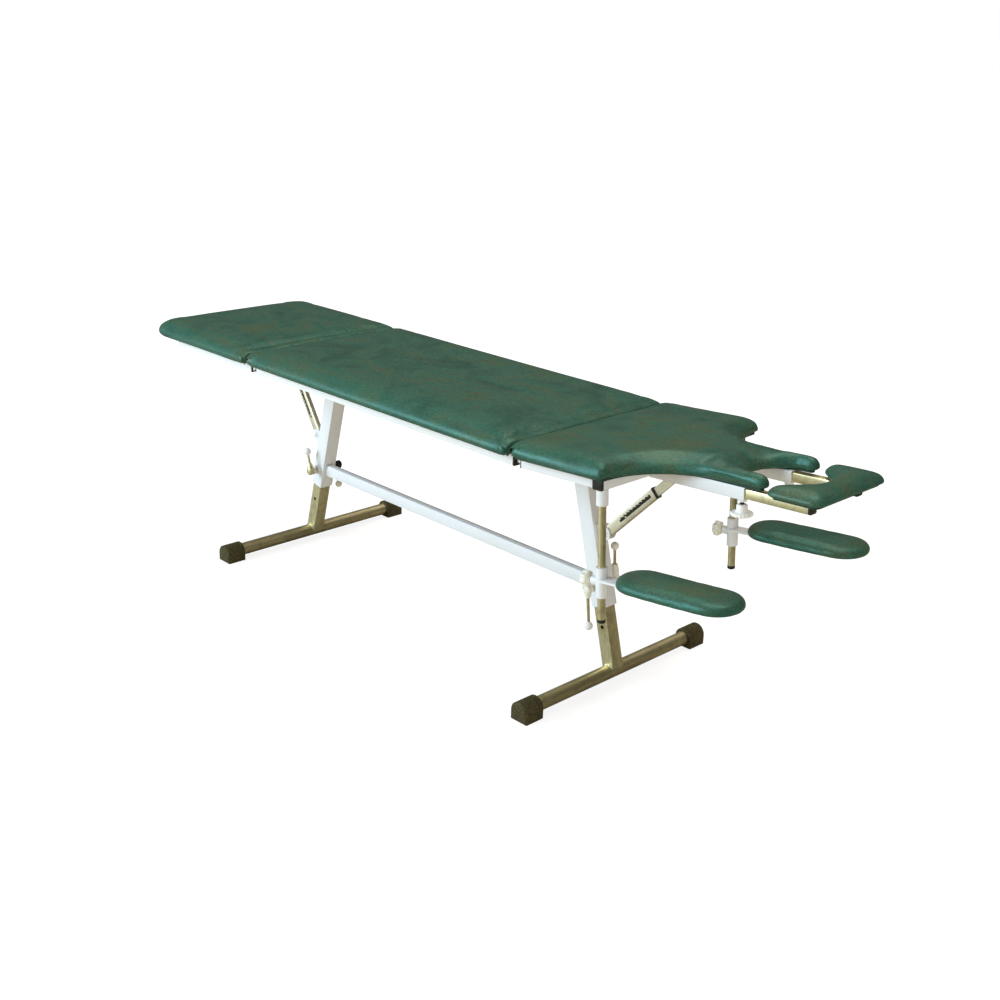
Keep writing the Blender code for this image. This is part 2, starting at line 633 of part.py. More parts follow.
def build_headrest(hinge):
    """Head cushion on two bars that slide in the receivers, and the knobs that lock them."""
    slide = empty("headrest", hinge)
    half, tip = HEAD_WIDTH / 2, HEAD_TIP
    corners = mirrored([
        (HEAD_END, half, HEAD_CORNER),
        (tip, half, HEAD_CORNER),
        (tip, HEAD_TIP_INNER, HEAD_TIP_CORNER),
        (tip + HEAD_NOTCH_DEPTH, HEAD_NOTCH_FLOOR, HEAD_NOTCH_CORNER),
    ])
    upholster("head", corners, slide, HEAD_SECTION, HEAD_BOARD_DROP)
    stem_top = -GAP - RECEIVER_SIZE - LOCK_BOSS - GAP
    hub_top = stem_top - LOCK_STEM
    disc_top = hub_top - LOCK_HUB
    for side, sign in SIDES:
        bm = square_tube(BAR_SIZE, BAR_SIZE, BAR_WALL, "x", BAR_START, BAR_END)
        piece(f"head_bar_{side}", bm, "plated_steel", slide, (0, sign * BAR_Y, RECEIVER_Z))
        plug(f"head_bar_plug_{side}", BAR_SIZE, BAR_SIZE, BAR_WALL, "x", 1, slide,
             (BAR_END, sign * BAR_Y, RECEIVER_Z))
        profile = [
            (0, stem_top), (LOCK_STEM_RADIUS, stem_top), (LOCK_STEM_RADIUS, hub_top),
            (LOCK_HUB_RADIUS, hub_top), (LOCK_HUB_RADIUS, disc_top),
            (LOCK_DISC_RADIUS - LOCK_DISC / 4, disc_top),
            (LOCK_DISC_RADIUS, disc_top - LOCK_DISC / 4),
            (LOCK_DISC_RADIUS, disc_top - LOCK_DISC * 3 / 4),
            (LOCK_DISC_RADIUS - LOCK_DISC / 4, disc_top - LOCK_DISC), (0, disc_top - LOCK_DISC),
        ]
        piece(f"bar_lock_knob_{side}", lathe(profile), "white_plastic", hinge,
              (LOCK_X, sign * BAR_Y, 0))


def star_knob():
    """Lobed hand knob with its stem, turned on the X axis, stem end at x = 0."""
    turns = [2 * math.pi * i / (6 * KNOB_LOBES) for i in range(6 * KNOB_LOBES)]
    radii = [KNOB_RADIUS - KNOB_LOBE * (1 - math.cos(KNOB_LOBES * turn)) / 2 for turn in turns]
    face = -KNOB_STEM
    levels = ((face, KNOB_EDGE), (face - KNOB_EDGE, 0.0),
              (face - KNOB_THICK + KNOB_EDGE, 0.0), (face - KNOB_THICK, KNOB_EDGE))
    rings = [
        [(x, (r - inset) * math.cos(turn), (r - inset) * math.sin(turn))
         for r, turn in zip(radii, turns)]
        for x, inset in levels
    ]
    return skin(rings)


def build_armrest(hinge, side, sign, swivel):
    """Rod in its socket, sleeve that slides on it, cushion on the sleeve's plate, and star knob."""
    axis = empty(f"armrest_{side}", hinge, (CHEST_BAR_X, sign * RAIL_Y, 0), turn_z=swivel)
    rod_top = -RAIL_DROP - RAIL_HEIGHT / 2 - GAP - SOCKET_HEADROOM
    bm = prism(circle(ARM_ROD_RADIUS), "z", rod_top - ARM_ROD_LENGTH, rod_top)
    piece(f"armrest_rod_{side}", bm, "plated_steel", axis)
    middle = (0, 0, -SLEEVE_DROP)
    half = SLEEVE_LENGTH / 2
    sleeve = piece(f"armrest_sleeve_{side}", prism(circle(SLEEVE_RADIUS), "z", -half, half),
                   "white_paint", axis, middle)
    corner = ARM_PLATE_WIDTH / 2 - GAP
    plate = rounded(mirrored([(0, corner, ARC_SAG), (ARM_PLATE_END, corner, corner - GAP)]))
    bm = prism(plate, "z", ARM_PLATE_RISE - ARM_PLATE_THICK, ARM_PLATE_RISE)
    combine(sleeve, "UNION", bm, axis, middle)
    boss_end = -SLEEVE_RADIUS - KNOB_BOSS
    combine(sleeve, "UNION", prism(circle(KNOB_BOSS_RADIUS), "x", boss_end, 0), axis, middle)
    bore = prism(circle(ARM_ROD_RADIUS + TURN_FIT), "z", -SLEEVE_LENGTH, SLEEVE_LENGTH)
    combine(sleeve, "DIFFERENCE", bore, axis, middle)
    start, end, wide = ARM_PAD_START, ARM_PAD_START + ARM_PAD_LENGTH, ARM_PAD_WIDTH / 2
    corners = mirrored([(start, wide, ARM_PAD_CORNER), (end, wide, ARM_PAD_CORNER)])
    piece(f"armrest_cushion_{side}", cushion(corners, ARM_SECTION, 0), "leatherette", axis,
          (0, 0, -SLEEVE_DROP + ARM_PLATE_RISE + GAP))
    seat = (boss_end - GAP, 0, -SLEEVE_DROP)
    knob = piece(f"armrest_knob_{side}", star_knob(), "cream_plastic", axis, seat)
    stem = prism(circle(KNOB_STEM_RADIUS), "x", -KNOB_STEM - KNOB_EDGE, 0)
    combine(knob, "UNION", stem, axis, seat)


def build_post_sleeve(leg, frame, outward, lean, drop):
    """Outer post, welded under its crossbar, with clamp bosses and the ears of its stay."""
    bm = square_tube(POST_SIZE, POST_SIZE, POST_WALL, "z", -POST_LENGTH, 0)
    for vert in bm.verts:
        if vert.co.z == 0:
            vert.co.z = vert.co.x * math.tan(lean)
    post = piece(f"{leg}_post_sleeve", bm, "white_paint", frame)
    face = POST_SIZE / 2
    for _, sign in SIDES:
        boss = prism(circle(CLAMP_BOSS_RADIUS), "y", sign * (face - WELD_LAP),
                     sign * (face + CLAMP_BOSS))
        combine(post, "UNION", boss, frame, (0, 0, -CLAMP_DROP))
    reach, half = face + STAY_STANDOFF, STAY_TAIL - GAP
    root = face - WELD_LAP
    ear = rounded([(outward * x, z, r) for x, z, r in (
        (root, -half * 1.6, ARC_SAG), (reach + half, -half, half - GAP),
        (reach + half, half, half - GAP), (root, half * 1.6, ARC_SAG))])
    inner = STAY_DEPTH / 2 + SLIDE_FIT
    for sign in (-1, 1):
        bm = prism(ear, "y", sign * inner, sign * (inner + STAY_EAR))
        combine(post, "UNION", bm, frame, (0, 0, -drop))
    bore = prism(circle(STAY_PIN_RADIUS + TURN_FIT, outward * reach), "y", -POST_SIZE, POST_SIZE)
    combine(post, "DIFFERENCE", bore, frame, (0, 0, -drop))


def boot_ring(y, half_width, sole):
    """D section of a rubber boot: flat sole, straight sides, round top."""
    base = [(half_width * (2 * i / 8 - 1), sole) for i in range(9)]
    flank = [sole + (FOOT_TUBE_Z - sole) * i / 3 for i in (1, 2)]
    turns = [math.pi * i / 12 for i in range(13)]
    arch = [(half_width * math.cos(turn), FOOT_TUBE_Z + half_width * math.sin(turn))
            for turn in turns]
    outline = base + [(half_width, z) for z in flank] + arch
    outline += [(-half_width, z) for z in reversed(flank)]
    return [(x, y, z) for x, z in outline]


def boot(inward):
    """Rubber boot for one end of a foot tube, outer end at y = 0; inward points along the tube."""
    wide = FOOT_TUBE_RADIUS + BOOT_SIDE
    bore_radius = FOOT_TUBE_RADIUS + 3 * GAP
    edge = BOOT_RIB * 2
    rings = [boot_ring(0, wide - edge, edge), boot_ring(inward * edge, wide, 0)]
    rib_pitch = BOOT_RIB * 4
    for k in range(BOOT_RIBS):
        y = inward * (BOOT_LENGTH - rib_pitch * (BOOT_RIBS - k) + rib_pitch / 2)
        valley = inward * rib_pitch / 4
        rings += [boot_ring(y - valley, wide, 0), boot_ring(y, wide - BOOT_RIB, 0),
                  boot_ring(y + valley, wide, 0)]
    rings.append(boot_ring(inward * BOOT_LENGTH, wide - BOOT_RIB, 0))
    middle = Vector((0, 0, FOOT_TUBE_Z))
    for y in (inward * BOOT_LENGTH, inward * BOOT_END):
        ring = []
        for x, _, z in rings[-1]:
            spoke = (Vector((x, 0, z)) - middle).normalized() * bore_radius
            ring.append((spoke.x, y, FOOT_TUBE_Z + spoke.z))
        rings.append(ring)
    return skin(rings)


def build_leg(leg, frame, root, outward):
    """Sliding inner post with its cross foot tube and rubber boots."""
    tube_drop = (POST_TOP - FOOT_TUBE_Z) / math.cos(LEAN)
    slide = empty(f"{leg}_leg", frame, (0, 0, -tube_drop))
    top = tube_drop - POST_LENGTH + INNER_LAP
    bm = square_tube(INNER_SIZE, INNER_SIZE, INNER_WALL, "z", COPE_START, top)
    inner = piece(f"{leg}_inner_post", bm, "plated_steel", slide)
    cope = prism(circle(FOOT_TUBE_RADIUS + GAP), "y", -POST_SIZE, POST_SIZE)
    combine(inner, "DIFFERENCE", cope, slide)
    mouth = tube_drop - POST_LENGTH
    holes = bmesh.new()
    for k in range(INDEX_HOLES):
        rise = mouth - INDEX_BELOW + k * INDEX_PITCH
        prism(circle(INDEX_RADIUS, 0, rise, 12), "y", -POST_SIZE, POST_SIZE, holes)
    combine(inner, "DIFFERENCE", holes, slide)
    foot = empty(f"{leg}_foot", root, (outward * foot_tube_x(), 0, 0))
    half = FOOT_BASE / 2
    end = half - BOOT_END - GAP
    bm = tube(circle(FOOT_TUBE_RADIUS, 0, FOOT_TUBE_Z, 24),
              circle(FOOT_TUBE_RADIUS - FOOT_TUBE_WALL, 0, FOOT_TUBE_Z, 24), "y", -end, end)
    piece(f"{leg}_foot_tube", bm, "plated_steel", foot)
    for side, sign in SIDES:
        piece(f"{leg}_boot_{side}", boot(-sign), "rubber", foot, (0, sign * half, 0))


def foot_tube_x():
    """Distance of the foot tubes from the middle between them."""
    return POST_X + (POST_TOP - FOOT_TUBE_Z) * math.tan(LEAN)


def build_stretcher(root):
    """Lower tube between the outer posts, its ends mitred to their lean."""
    bm = square_tube(STRETCHER_WIDTH, STRETCHER_HEIGHT, TUBE_WALL, "x", -1, 1)
    for vert in bm.verts:
        height = POST_TOP - STRETCHER_Z - vert.co.z
        reach = POST_X + height * math.tan(LEAN) - POST_SIZE / 2 / math.cos(LEAN) - GAP
        vert.co.x *= reach
    piece("stretcher", bm, "white_paint", root, (0, 0, STRETCHER_Z))


def build_lever(name, frame, sign, angle, reach):
    """Clamp lever: stud, hub, rod and ball, turning on the clamp's axis across the post."""
    seat = POST_SIZE / 2 + CLAMP_BOSS + GAP
    axis = empty(f"{name}_axis", frame, (0, 0, -CLAMP_DROP))
    hub_in, hub_out = seat + LEVER_STUD, seat + LEVER_STUD + LEVER_HUB
    bm = prism(circle(LEVER_HUB_RADIUS), "y", sign * hub_in, sign * hub_out)
    lever = piece(name, bm, "white_plastic", axis)
    stud = prism(circle(LEVER_STUD_RADIUS), "y", sign * seat, sign * (hub_in + LEVER_HUB / 2))
    combine(lever, "UNION", stud, axis)
    swing = Matrix.Rotation(angle, 3, "Y")
    middle = (0, sign * (hub_in + LEVER_HUB / 2), 0)
    rod = turned(prism(circle(LEVER_ROD_RADIUS, steps=12), "z", 0, reach), swing)
    combine(lever, "UNION", rod, axis, middle)
    ball = bmesh.new()
    bmesh.ops.create_uvsphere(ball, u_segments=14, v_segments=9, radius=LEVER_BALL_RADIUS)
    bmesh.ops.translate(ball, verts=ball.verts, vec=(0, 0, reach))
    combine(lever, "UNION", turned(ball, swing), axis, middle)


def stay_slot(start, end):
    """Outline of a ratchet slot along a stay, with saw teeth on its upper side."""
    half = STAY_SLOT / 2
    outline = [(start, -half), (end, -half), (end, half)]
    teeth = int((end - start) / STAY_TOOTH_PITCH)
    for k in range(teeth):
        x = end - (k + 0.5) * STAY_TOOTH_PITCH
        outline += [(x, half + STAY_TOOTH), (x, half)]
    outline.append((start, half))
    return outline


def build_stay(leg, root, low, high, inner, travel):
    """Ratchet stay between two pivots: slotted channel, and slider with its stud and eye."""
    run = high - low
    length = run.length
    pivot = empty(f"{leg}_stay", root, low, turn_y=-math.atan2(run.z, run.x))
    mouth = length - STAY_SHORT
    bm = square_tube(STAY_DEPTH, STAY_WIDTH, STAY_WALL, "x", -STAY_TAIL, mouth)
    channel = piece(f"{leg}_stay_channel", bm, "plated_steel", pivot)
    stud_at = inner + STAY_STUD_IN
    slot = stay_slot(stud_at + travel[0] - STAY_SLOT_SPARE, stud_at + travel[1] + STAY_SLOT_SPARE)
    combine(channel, "DIFFERENCE", prism(slot, "y", -STAY_DEPTH, -STAY_DEPTH / 2 + STAY_WALL * 2),
            pivot)
    pin_end = STAY_DEPTH / 2 + SLIDE_FIT + STAY_EAR
    combine(channel, "UNION", prism(circle(STAY_PIN_RADIUS), "y", -pin_end, pin_end), pivot)
    depth = STAY_DEPTH - 2 * STAY_WALL - 2 * SLIDE_FIT
    width = STAY_WIDTH - 2 * STAY_WALL - 2 * SLIDE_FIT
    bar = prism(rectangle(depth, width), "x", inner, length)
    slider = piece(f"{leg}_stay_slider", bar, "plated_steel", pivot)
    eye = prism(circle(STAY_EYE_RADIUS, length), "y", -depth / 2, depth / 2)
    combine(slider, "UNION", eye, pivot)
    bore = prism(circle(STAY_EYE_BORE, length), "y", -STAY_DEPTH, STAY_DEPTH)
    combine(slider, "DIFFERENCE", bore, pivot)
    stud = prism(circle(STAY_STUD_RADIUS, stud_at, steps=12), "y", -STAY_DEPTH / 2, 0)
    combine(slider, "UNION", stud, pivot)


def build_legs(root):
    """Both leaning legs, their clamp levers, the stretcher and the ratchet stays."""
    frames = {}
    for leg, outward, drop in (("foot", -1, FOOT_STAY_DROP), ("head", 1, HEAD_STAY_DROP)):
        lean = -outward * LEAN
        frame = empty(f"{leg}_post", root, (outward * POST_X, 0, POST_TOP), turn_y=lean)
        frames[leg] = frame
        build_post_sleeve(leg, frame, outward, lean, drop)
        build_leg(leg, frame, root, outward)
    build_stretcher(root)
    for name, leg, sign, angle, reach in LEVERS:
        build_lever(name, frames[leg], sign, angle - frames[leg].rotation_euler.y, reach)
    build_stay("foot", root, stay_low(-1, FOOT_STAY_DROP),
               stay_high(SEAM_FOOT, -FOOT_BAR_X, 0.0), FOOT_STAY_INNER, FOOT_STAY_TRAVEL)
    build_stay("head", root, stay_low(1, HEAD_STAY_DROP),
               stay_high(SEAM_CHEST, CHEST_BAR_X + STAY_LEAD, CHEST_TILT), HEAD_STAY_INNER,
               HEAD_STAY_TRAVEL)


def stay_low(outward, drop):
    """Lower pivot of a stay, on its post's ears."""
    reach = outward * (POST_SIZE / 2 + STAY_STANDOFF)
    local = Vector((reach, 0, -drop))
    return Matrix.Rotation(-outward * LEAN, 3, "Y") @ local + Vector((outward * POST_X, 0, POST_TOP))


def stay_high(seam, pivot_x, tilt):
    """Upper pivot of a stay, under its section's crossbar."""
    local = Vector((pivot_x, 0, -RAIL_DROP - RAIL_HEIGHT / 2 - STAY_PIVOT_DROP))
    return Matrix.Rotation(-tilt, 3, "Y") @ local + Vector((seam, 0, PAD_BOTTOM))


def main():
    """Build the table."""
    clear_scene()
    root = empty("table", location=(-TABLE_MIDDLE, 0, 0))
    build_main_section(root)
    build_foot_section(root)
    hinge = build_chest_section(root)
    build_headrest(hinge)
    for side, sign, swivel in ARMS:
        build_armrest(hinge, side, sign, swivel)
    build_legs(root)


main()
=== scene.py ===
"""Looks of a three-section treatment table: green leatherette on a white frame with plated legs.

Metres, +X to the head end, -Y the near side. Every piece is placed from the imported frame's own nodes and joints.
"""

import json
import logging
import math
from dataclasses import dataclass, field
from enum import Enum

import bmesh
import bpy
from mathutils import Matrix, Vector
from mathutils.bvhtree import BVHTree
from mathutils.kdtree import KDTree

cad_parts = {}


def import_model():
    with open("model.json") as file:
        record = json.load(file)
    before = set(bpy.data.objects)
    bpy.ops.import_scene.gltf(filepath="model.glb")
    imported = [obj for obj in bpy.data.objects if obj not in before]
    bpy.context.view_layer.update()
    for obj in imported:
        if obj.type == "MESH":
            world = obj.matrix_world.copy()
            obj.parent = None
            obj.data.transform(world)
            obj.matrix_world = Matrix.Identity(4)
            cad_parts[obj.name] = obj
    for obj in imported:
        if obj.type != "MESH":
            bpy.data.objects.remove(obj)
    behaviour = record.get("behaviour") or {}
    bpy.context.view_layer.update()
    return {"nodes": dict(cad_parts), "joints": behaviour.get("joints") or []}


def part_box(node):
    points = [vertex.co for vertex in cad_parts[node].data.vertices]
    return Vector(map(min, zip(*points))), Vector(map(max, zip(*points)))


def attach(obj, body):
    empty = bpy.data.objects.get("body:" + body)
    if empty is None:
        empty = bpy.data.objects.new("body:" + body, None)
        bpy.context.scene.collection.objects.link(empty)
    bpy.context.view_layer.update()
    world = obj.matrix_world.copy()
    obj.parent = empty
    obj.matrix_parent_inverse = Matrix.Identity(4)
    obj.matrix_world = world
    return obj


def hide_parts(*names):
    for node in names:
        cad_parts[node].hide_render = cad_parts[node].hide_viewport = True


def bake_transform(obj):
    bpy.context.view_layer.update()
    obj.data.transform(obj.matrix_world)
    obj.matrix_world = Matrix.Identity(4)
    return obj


LOG = logging.getLogger("treatment_table")
Colour = tuple[float, float, float]
Stops = tuple[tuple[float, Colour], ...]
Socket = bpy.types.NodeSocket
Shape = bmesh.types.BMesh
Piece = bpy.types.Object
UP = Vector((0.0, 0.0, 1.0))
ACROSS = Vector((0.0, 1.0, 0.0))
SIDES = (("near", -1), ("far", 1))
ENDS = ("foot", "head")
LEG_LEAN = math.radians(14.6)
SAME_POINT = 1e-5
SHARP_EDGE = math.radians(38.0)


class Grain(Enum):
    """Direction in which a pattern is drawn out, as the stretch of its coordinates."""

    EVEN = (1.0, 1.0, 1.0)
    ALONG_X = (0.05, 1.0, 1.0)
    ALONG_Y = (1.0, 0.05, 1.0)
    ALONG_Z = (1.0, 1.0, 0.05)


class Head(Enum):
    """Kind of fastener head, as its number of sides and whether it has a dome."""

    HEX = (6, False)
    DOME = (20, True)


class Nodes:
    """Nodes of a material, of the world or of a modifier."""

    def __init__(self, tree: bpy.types.NodeTree) -> None:
        """Take a tree.

        Args:
            tree: The tree to add nodes to.
        """
        self.tree = tree

    def node(self, kind: str, inputs: dict[str | int, object], **settings: object) -> bpy.types.Node:
        """Add a node.

        Args:
            kind: Type of the node.
            inputs: Value or source socket of each input.
            **settings: Properties of the node.

        Returns:
            The node.
        """
        made = self.tree.nodes.new(kind)
        for key, value in settings.items():
            setattr(made, key, value)
        for key, value in inputs.items():
            if isinstance(value, Socket):
                self.tree.links.new(value, made.inputs[key])
            else:
                colour = made.inputs[key].type == "RGBA"
                made.inputs[key].default_value = (*value, 1.0) if colour else value
        return made


class Shader(Nodes):
    """A material's nodes, wired from its Principled shader back to the object's coordinates."""

    def __init__(self, name: str, metallic: float, specular: float) -> None:
        """Start a material.

        Args:
            name: Name of the material.
            metallic: 1 for bare metal, else 0.
            specular: Specular level of the shader.
        """
        self.material = bpy.data.materials.new(name)
        self.material.use_nodes = True
        super().__init__(self.material.node_tree)
        self.base = self.tree.nodes["Principled BSDF"]
        self.base.inputs["Metallic"].default_value = metallic
        self.base.inputs["Specular IOR Level"].default_value = specular
        self.place = self.tree.nodes.new("ShaderNodeTexCoord").outputs["Object"]

    def coords(self, grain: Grain = Grain.EVEN, turn: float = 0.0) -> Socket:
        """Object coordinates, drawn out along a grain.

        Args:
            grain: Direction of the grain.
            turn: Angle about Y that the grain leans by.

        Returns:
            The coordinates' socket.
        """
        inputs = {"Vector": self.place, "Scale": grain.value, "Rotation": (0.0, turn, 0.0)}
        return self.node("ShaderNodeMapping", inputs).outputs["Vector"]

    def noise(self, where: Socket, scale: float, detail: float, warp: float = 0.0) -> Socket:
        """Cloudy pattern.

        Args:
            where: Coordinates.
            scale: Patches per metre.
            detail: Octaves.
            warp: Distortion.

        Returns:
            The pattern's socket, from 0 to 1.
        """
        inputs = {"Vector": where, "Scale": scale, "Detail": detail, "Distortion": warp}
        return self.node("ShaderNodeTexNoise", inputs).outputs["Fac"]

    def ramp(self, fac: Socket, stops: Stops) -> Socket:
        """Colours along a pattern.

        Args:
            fac: The pattern.
            stops: Place and colour of each stop.

        Returns:
            The colour's socket.
        """
        made = self.node("ShaderNodeValToRGB", {"Fac": fac})
        elements = made.color_ramp.elements
        while len(elements) < len(stops):
            elements.new(0.5)
        for element, (place, colour) in zip(elements, stops):
            element.position = place
            element.color = (*colour, 1.0)
        return made.outputs["Color"]

    def blend(self, fac: object, under: object, over: object, kind: str = "MIX") -> Socket:
        """One colour laid over another.

        Args:
            fac: How much of it.
            under: Colour below.
            over: Colour above.
            kind: Blend type.

        Returns:
            The colour's socket.
        """
        inputs = {0: fac, 6: under, 7: over}
        return self.node("ShaderNodeMix", inputs, data_type="RGBA", blend_type=kind).outputs[2]

    def span(self, value: Socket, low: float, high: float, to_low: float, to_high: float) -> Socket:
        """A pattern's range brought to another one, and clipped there.

        Args:
            value: The pattern.
            low: Where it starts to count.
            high: Where it stops.
            to_low: Result at low.
            to_high: Result at high.

        Returns:
            The result's socket.
        """
        inputs = {"Value": value, "From Min": low, "From Max": high, "To Min": to_low, "To Max": to_high}
        return self.node("ShaderNodeMapRange", inputs).outputs["Result"]

    def edges(self, radius: float) -> Socket:
        """Mask of a shape's edges, 1 on the edge.

        Args:
            radius: How far the mask reaches.

        Returns:
            The mask's socket.
        """
        soft = self.node("ShaderNodeBevel", {"Radius": radius}, samples=4).outputs["Normal"]
        true = self.node("ShaderNodeNewGeometry", {}).outputs["True Normal"]
        dot = self.node("ShaderNodeVectorMath", {0: soft, 1: true}, operation="DOT_PRODUCT")
        return self.span(dot.outputs["Value"], 0.80, 0.99, 1.0, 0.0)

    def bump(self, pattern: Socket, strength: float, depth: float) -> None:
        """Lay relief over what relief the shader already has.

        Args:
            pattern: Height of the relief, from 0 to 1.
            strength: Share of it that shows.
            depth: Its depth in metres.
        """
        inputs = {"Height": pattern, "Strength": strength, "Distance": depth}
        normal = self.base.inputs["Normal"]
        if normal.is_linked:
            inputs["Normal"] = normal.links[0].from_socket
        self.tree.links.new(self.node("ShaderNodeBump", inputs).outputs["Normal"], normal)

    def use(self, socket: str, source: Socket) -> None:
        """Feed one of the shader's own sockets.

        Args:
            socket: Name of the socket.
            source: What feeds it.
        """
        self.tree.links.new(source, self.base.inputs[socket])


@dataclass(frozen=True)
class Finish:
    """A surface of the table, with the record's slot that it belongs to."""

    name: str
    slot: str

    def material(self) -> bpy.types.Material:
        """Make the finish's material.

        Returns:
            The material.
        """
        raise NotImplementedError


@dataclass(frozen=True)
class Leatherette(Finish):
    """Grained green cover with brown and olive clouding, and roughness that varies in patches."""

    deep: Colour = (0.020, 0.068, 0.048)
    green: Colour = (0.034, 0.100, 0.068)
    olive: Colour = (0.060, 0.090, 0.046)
    brown: Colour = (0.078, 0.072, 0.036)
    shine: Colour = (0.42, 1.0, 0.90)
    grain_per_m: float = 620.0

    def material(self) -> bpy.types.Material:
        """Make the cover's material.

        Returns:
            The material.
        """
        sh = Shader(self.name, 0.0, 0.46)
        sh.base.inputs["Specular Tint"].default_value = (*self.shine, 1.0)
        flat, drawn = sh.coords(), sh.coords(Grain.ALONG_X)
        clouds = sh.noise(flat, 9.0, 6.0, 1.2)
        streaks = sh.noise(drawn, 55.0, 5.0, 0.6)
        colour = sh.ramp(clouds, ((0.28, self.deep), (0.52, self.green), (0.74, self.olive)))
        stain = sh.span(streaks, 0.50, 0.78, 0.0, 0.55)
        colour = sh.blend(stain, colour, self.brown)
        speck = sh.span(sh.noise(flat, 300.0, 5.0), 0.32, 0.70, 0.66, 1.34)
        tone = sh.node("ShaderNodeCombineColor", {0: speck, 1: speck, 2: speck}).outputs[0]
        sh.use("Base Color", sh.blend(1.0, colour, tone, "MULTIPLY"))
        sh.use("Roughness", sh.span(sh.noise(flat, 30.0, 5.0), 0.30, 0.72, 0.30, 0.44))
        sh.bump(sh.noise(drawn, 26.0, 3.0, 1.5), 0.30, 0.0022)
        inputs = {"Vector": flat, "Scale": self.grain_per_m}
        pebbles = sh.node("ShaderNodeTexVoronoi", inputs, feature="SMOOTH_F1").outputs["Distance"]
        sh.bump(pebbles, 0.40, 0.0007)
        return sh.material


@dataclass(frozen=True)
class Powder(Finish):
    """White powder coat: fine orange peel, rubbed edges, and dust in patches."""

    white: Colour = (0.745, 0.760, 0.790)
    worn: Colour = (0.560, 0.545, 0.500)
    dust: Colour = (0.690, 0.670, 0.610)

    def material(self) -> bpy.types.Material:
        """Make the coat's material.

        Returns:
            The material.
        """
        sh = Shader(self.name, 0.0, 0.35)
        flat = sh.coords()
        clouds = sh.span(sh.noise(flat, 12.0, 6.0, 0.8), 0.50, 0.80, 0.0, 0.35)
        colour = sh.blend(clouds, self.white, self.dust)
        rub = sh.span(sh.noise(flat, 70.0, 5.0), 0.46, 0.70, 0.0, 0.75)
        edge = sh.node("ShaderNodeMath", {0: sh.edges(0.0016), 1: rub}, operation="MULTIPLY").outputs[0]
        sh.use("Base Color", sh.blend(edge, colour, self.worn))
        sh.use("Roughness", sh.span(sh.noise(flat, 45.0, 4.0), 0.30, 0.75, 0.30, 0.44))
        sh.bump(sh.noise(flat, 520.0, 2.0), 0.22, 0.0003)
        return sh.material


@dataclass(frozen=True)
class Plated(Finish):
    """Yellow-passivated steel with drawing streaks, stains and brighter rubbed edges."""

    light: Colour = (0.930, 0.840, 0.520)
    dark: Colour = (0.740, 0.655, 0.395)
    stain: Colour = (0.420, 0.375, 0.225)
    rubbed: Colour = (0.900, 0.860, 0.700)
    grain: Grain = Grain.ALONG_X
    lean: float = 0.0

    def material(self) -> bpy.types.Material:
        """Make the plating's material.

        Returns:
            The material.
        """
        sh = Shader(self.name, 1.0, 0.5)
        flat, drawn = sh.coords(), sh.coords(self.grain, self.lean)
        streaks = sh.noise(drawn, 210.0, 5.0, 0.3)
        colour = sh.ramp(streaks, ((0.30, self.dark), (0.72, self.light)))
        clouds = sh.span(sh.noise(flat, 34.0, 6.0, 1.4), 0.48, 0.76, 0.0, 0.60)
        colour = sh.blend(clouds, colour, self.stain)
        edge = sh.span(sh.edges(0.0012), 0.0, 1.0, 0.0, 0.6)
        sh.use("Base Color", sh.blend(edge, colour, self.rubbed))
        sh.use("Roughness", sh.span(streaks, 0.25, 0.80, 0.54, 0.40))
        sh.bump(sh.noise(drawn, 900.0, 2.0), 0.16, 0.0002)
        return sh.material


@dataclass(frozen=True)
class Moulded(Finish):
    """Moulded plastic or rubber with a mottle, dusty or handled darker in places."""

    colour: Colour
    soiled: Colour
    gloss: float = 0.36
    spread: float = 0.16
    specular: float = 0.40
    mottle: tuple[float, float, float] = (130.0, 6.0, 0.8)  # the soil's noise
    cover: tuple[float, float, float, float] = (0.48, 0.78, 0.0, 0.70)  # the span that it is brought to
    cloud: float = 90.0
    pits: tuple[float, float] = (700.0, 3.0)  # the relief's noise
    relief: tuple[float, float] = (0.20, 0.0003)  # strength and depth

    def material(self) -> bpy.types.Material:
        """Make the mouldings' material.

        Returns:
            The material.
        """
        sh = Shader(self.name, 0.0, self.specular)
        flat = sh.coords()
        soil = sh.span(sh.noise(flat, *self.mottle), *self.cover)
        sh.use("Base Color", sh.blend(soil, self.colour, self.soiled))
        dull = self.gloss + self.spread
        sh.use("Roughness", sh.span(sh.noise(flat, self.cloud, 4.0), 0.3, 0.7, self.gloss, dull))
        sh.bump(sh.noise(flat, *self.pits), *self.relief)
        return sh.material


@dataclass(frozen=True)
class Plywood(Finish):
    """Plywood with long grain on its faces; the cover is drawn round its edges."""

    pale: Colour = (0.330, 0.225, 0.125)
    brown: Colour = (0.170, 0.105, 0.055)
    wrapped: Colour = (0.018, 0.056, 0.038)

    def material(self) -> bpy.types.Material:
        """Make the wood's material.

        Returns:
            The material.
        """
        sh = Shader(self.name, 0.0, 0.30)
        drawn = sh.coords(Grain.ALONG_X)
        grain = sh.noise(drawn, 120.0, 6.0, 1.6)
        face = sh.ramp(grain, ((0.30, self.brown), (0.70, self.pale)))
        normal = sh.node("ShaderNodeNewGeometry", {}).outputs["Normal"]
        level = sh.node("ShaderNodeSeparateXYZ", {0: normal}).outputs["Z"]
        flat = sh.node("ShaderNodeMath", {0: level}, operation="ABSOLUTE").outputs[0]
        sh.use("Base Color", sh.blend(sh.span(flat, 0.6, 0.8, 0.0, 1.0), self.wrapped, face))
        sh.use("Roughness", sh.span(grain, 0.25, 0.75, 0.62, 0.80))
        sh.bump(grain, 0.25, 0.0004)
        return sh.material


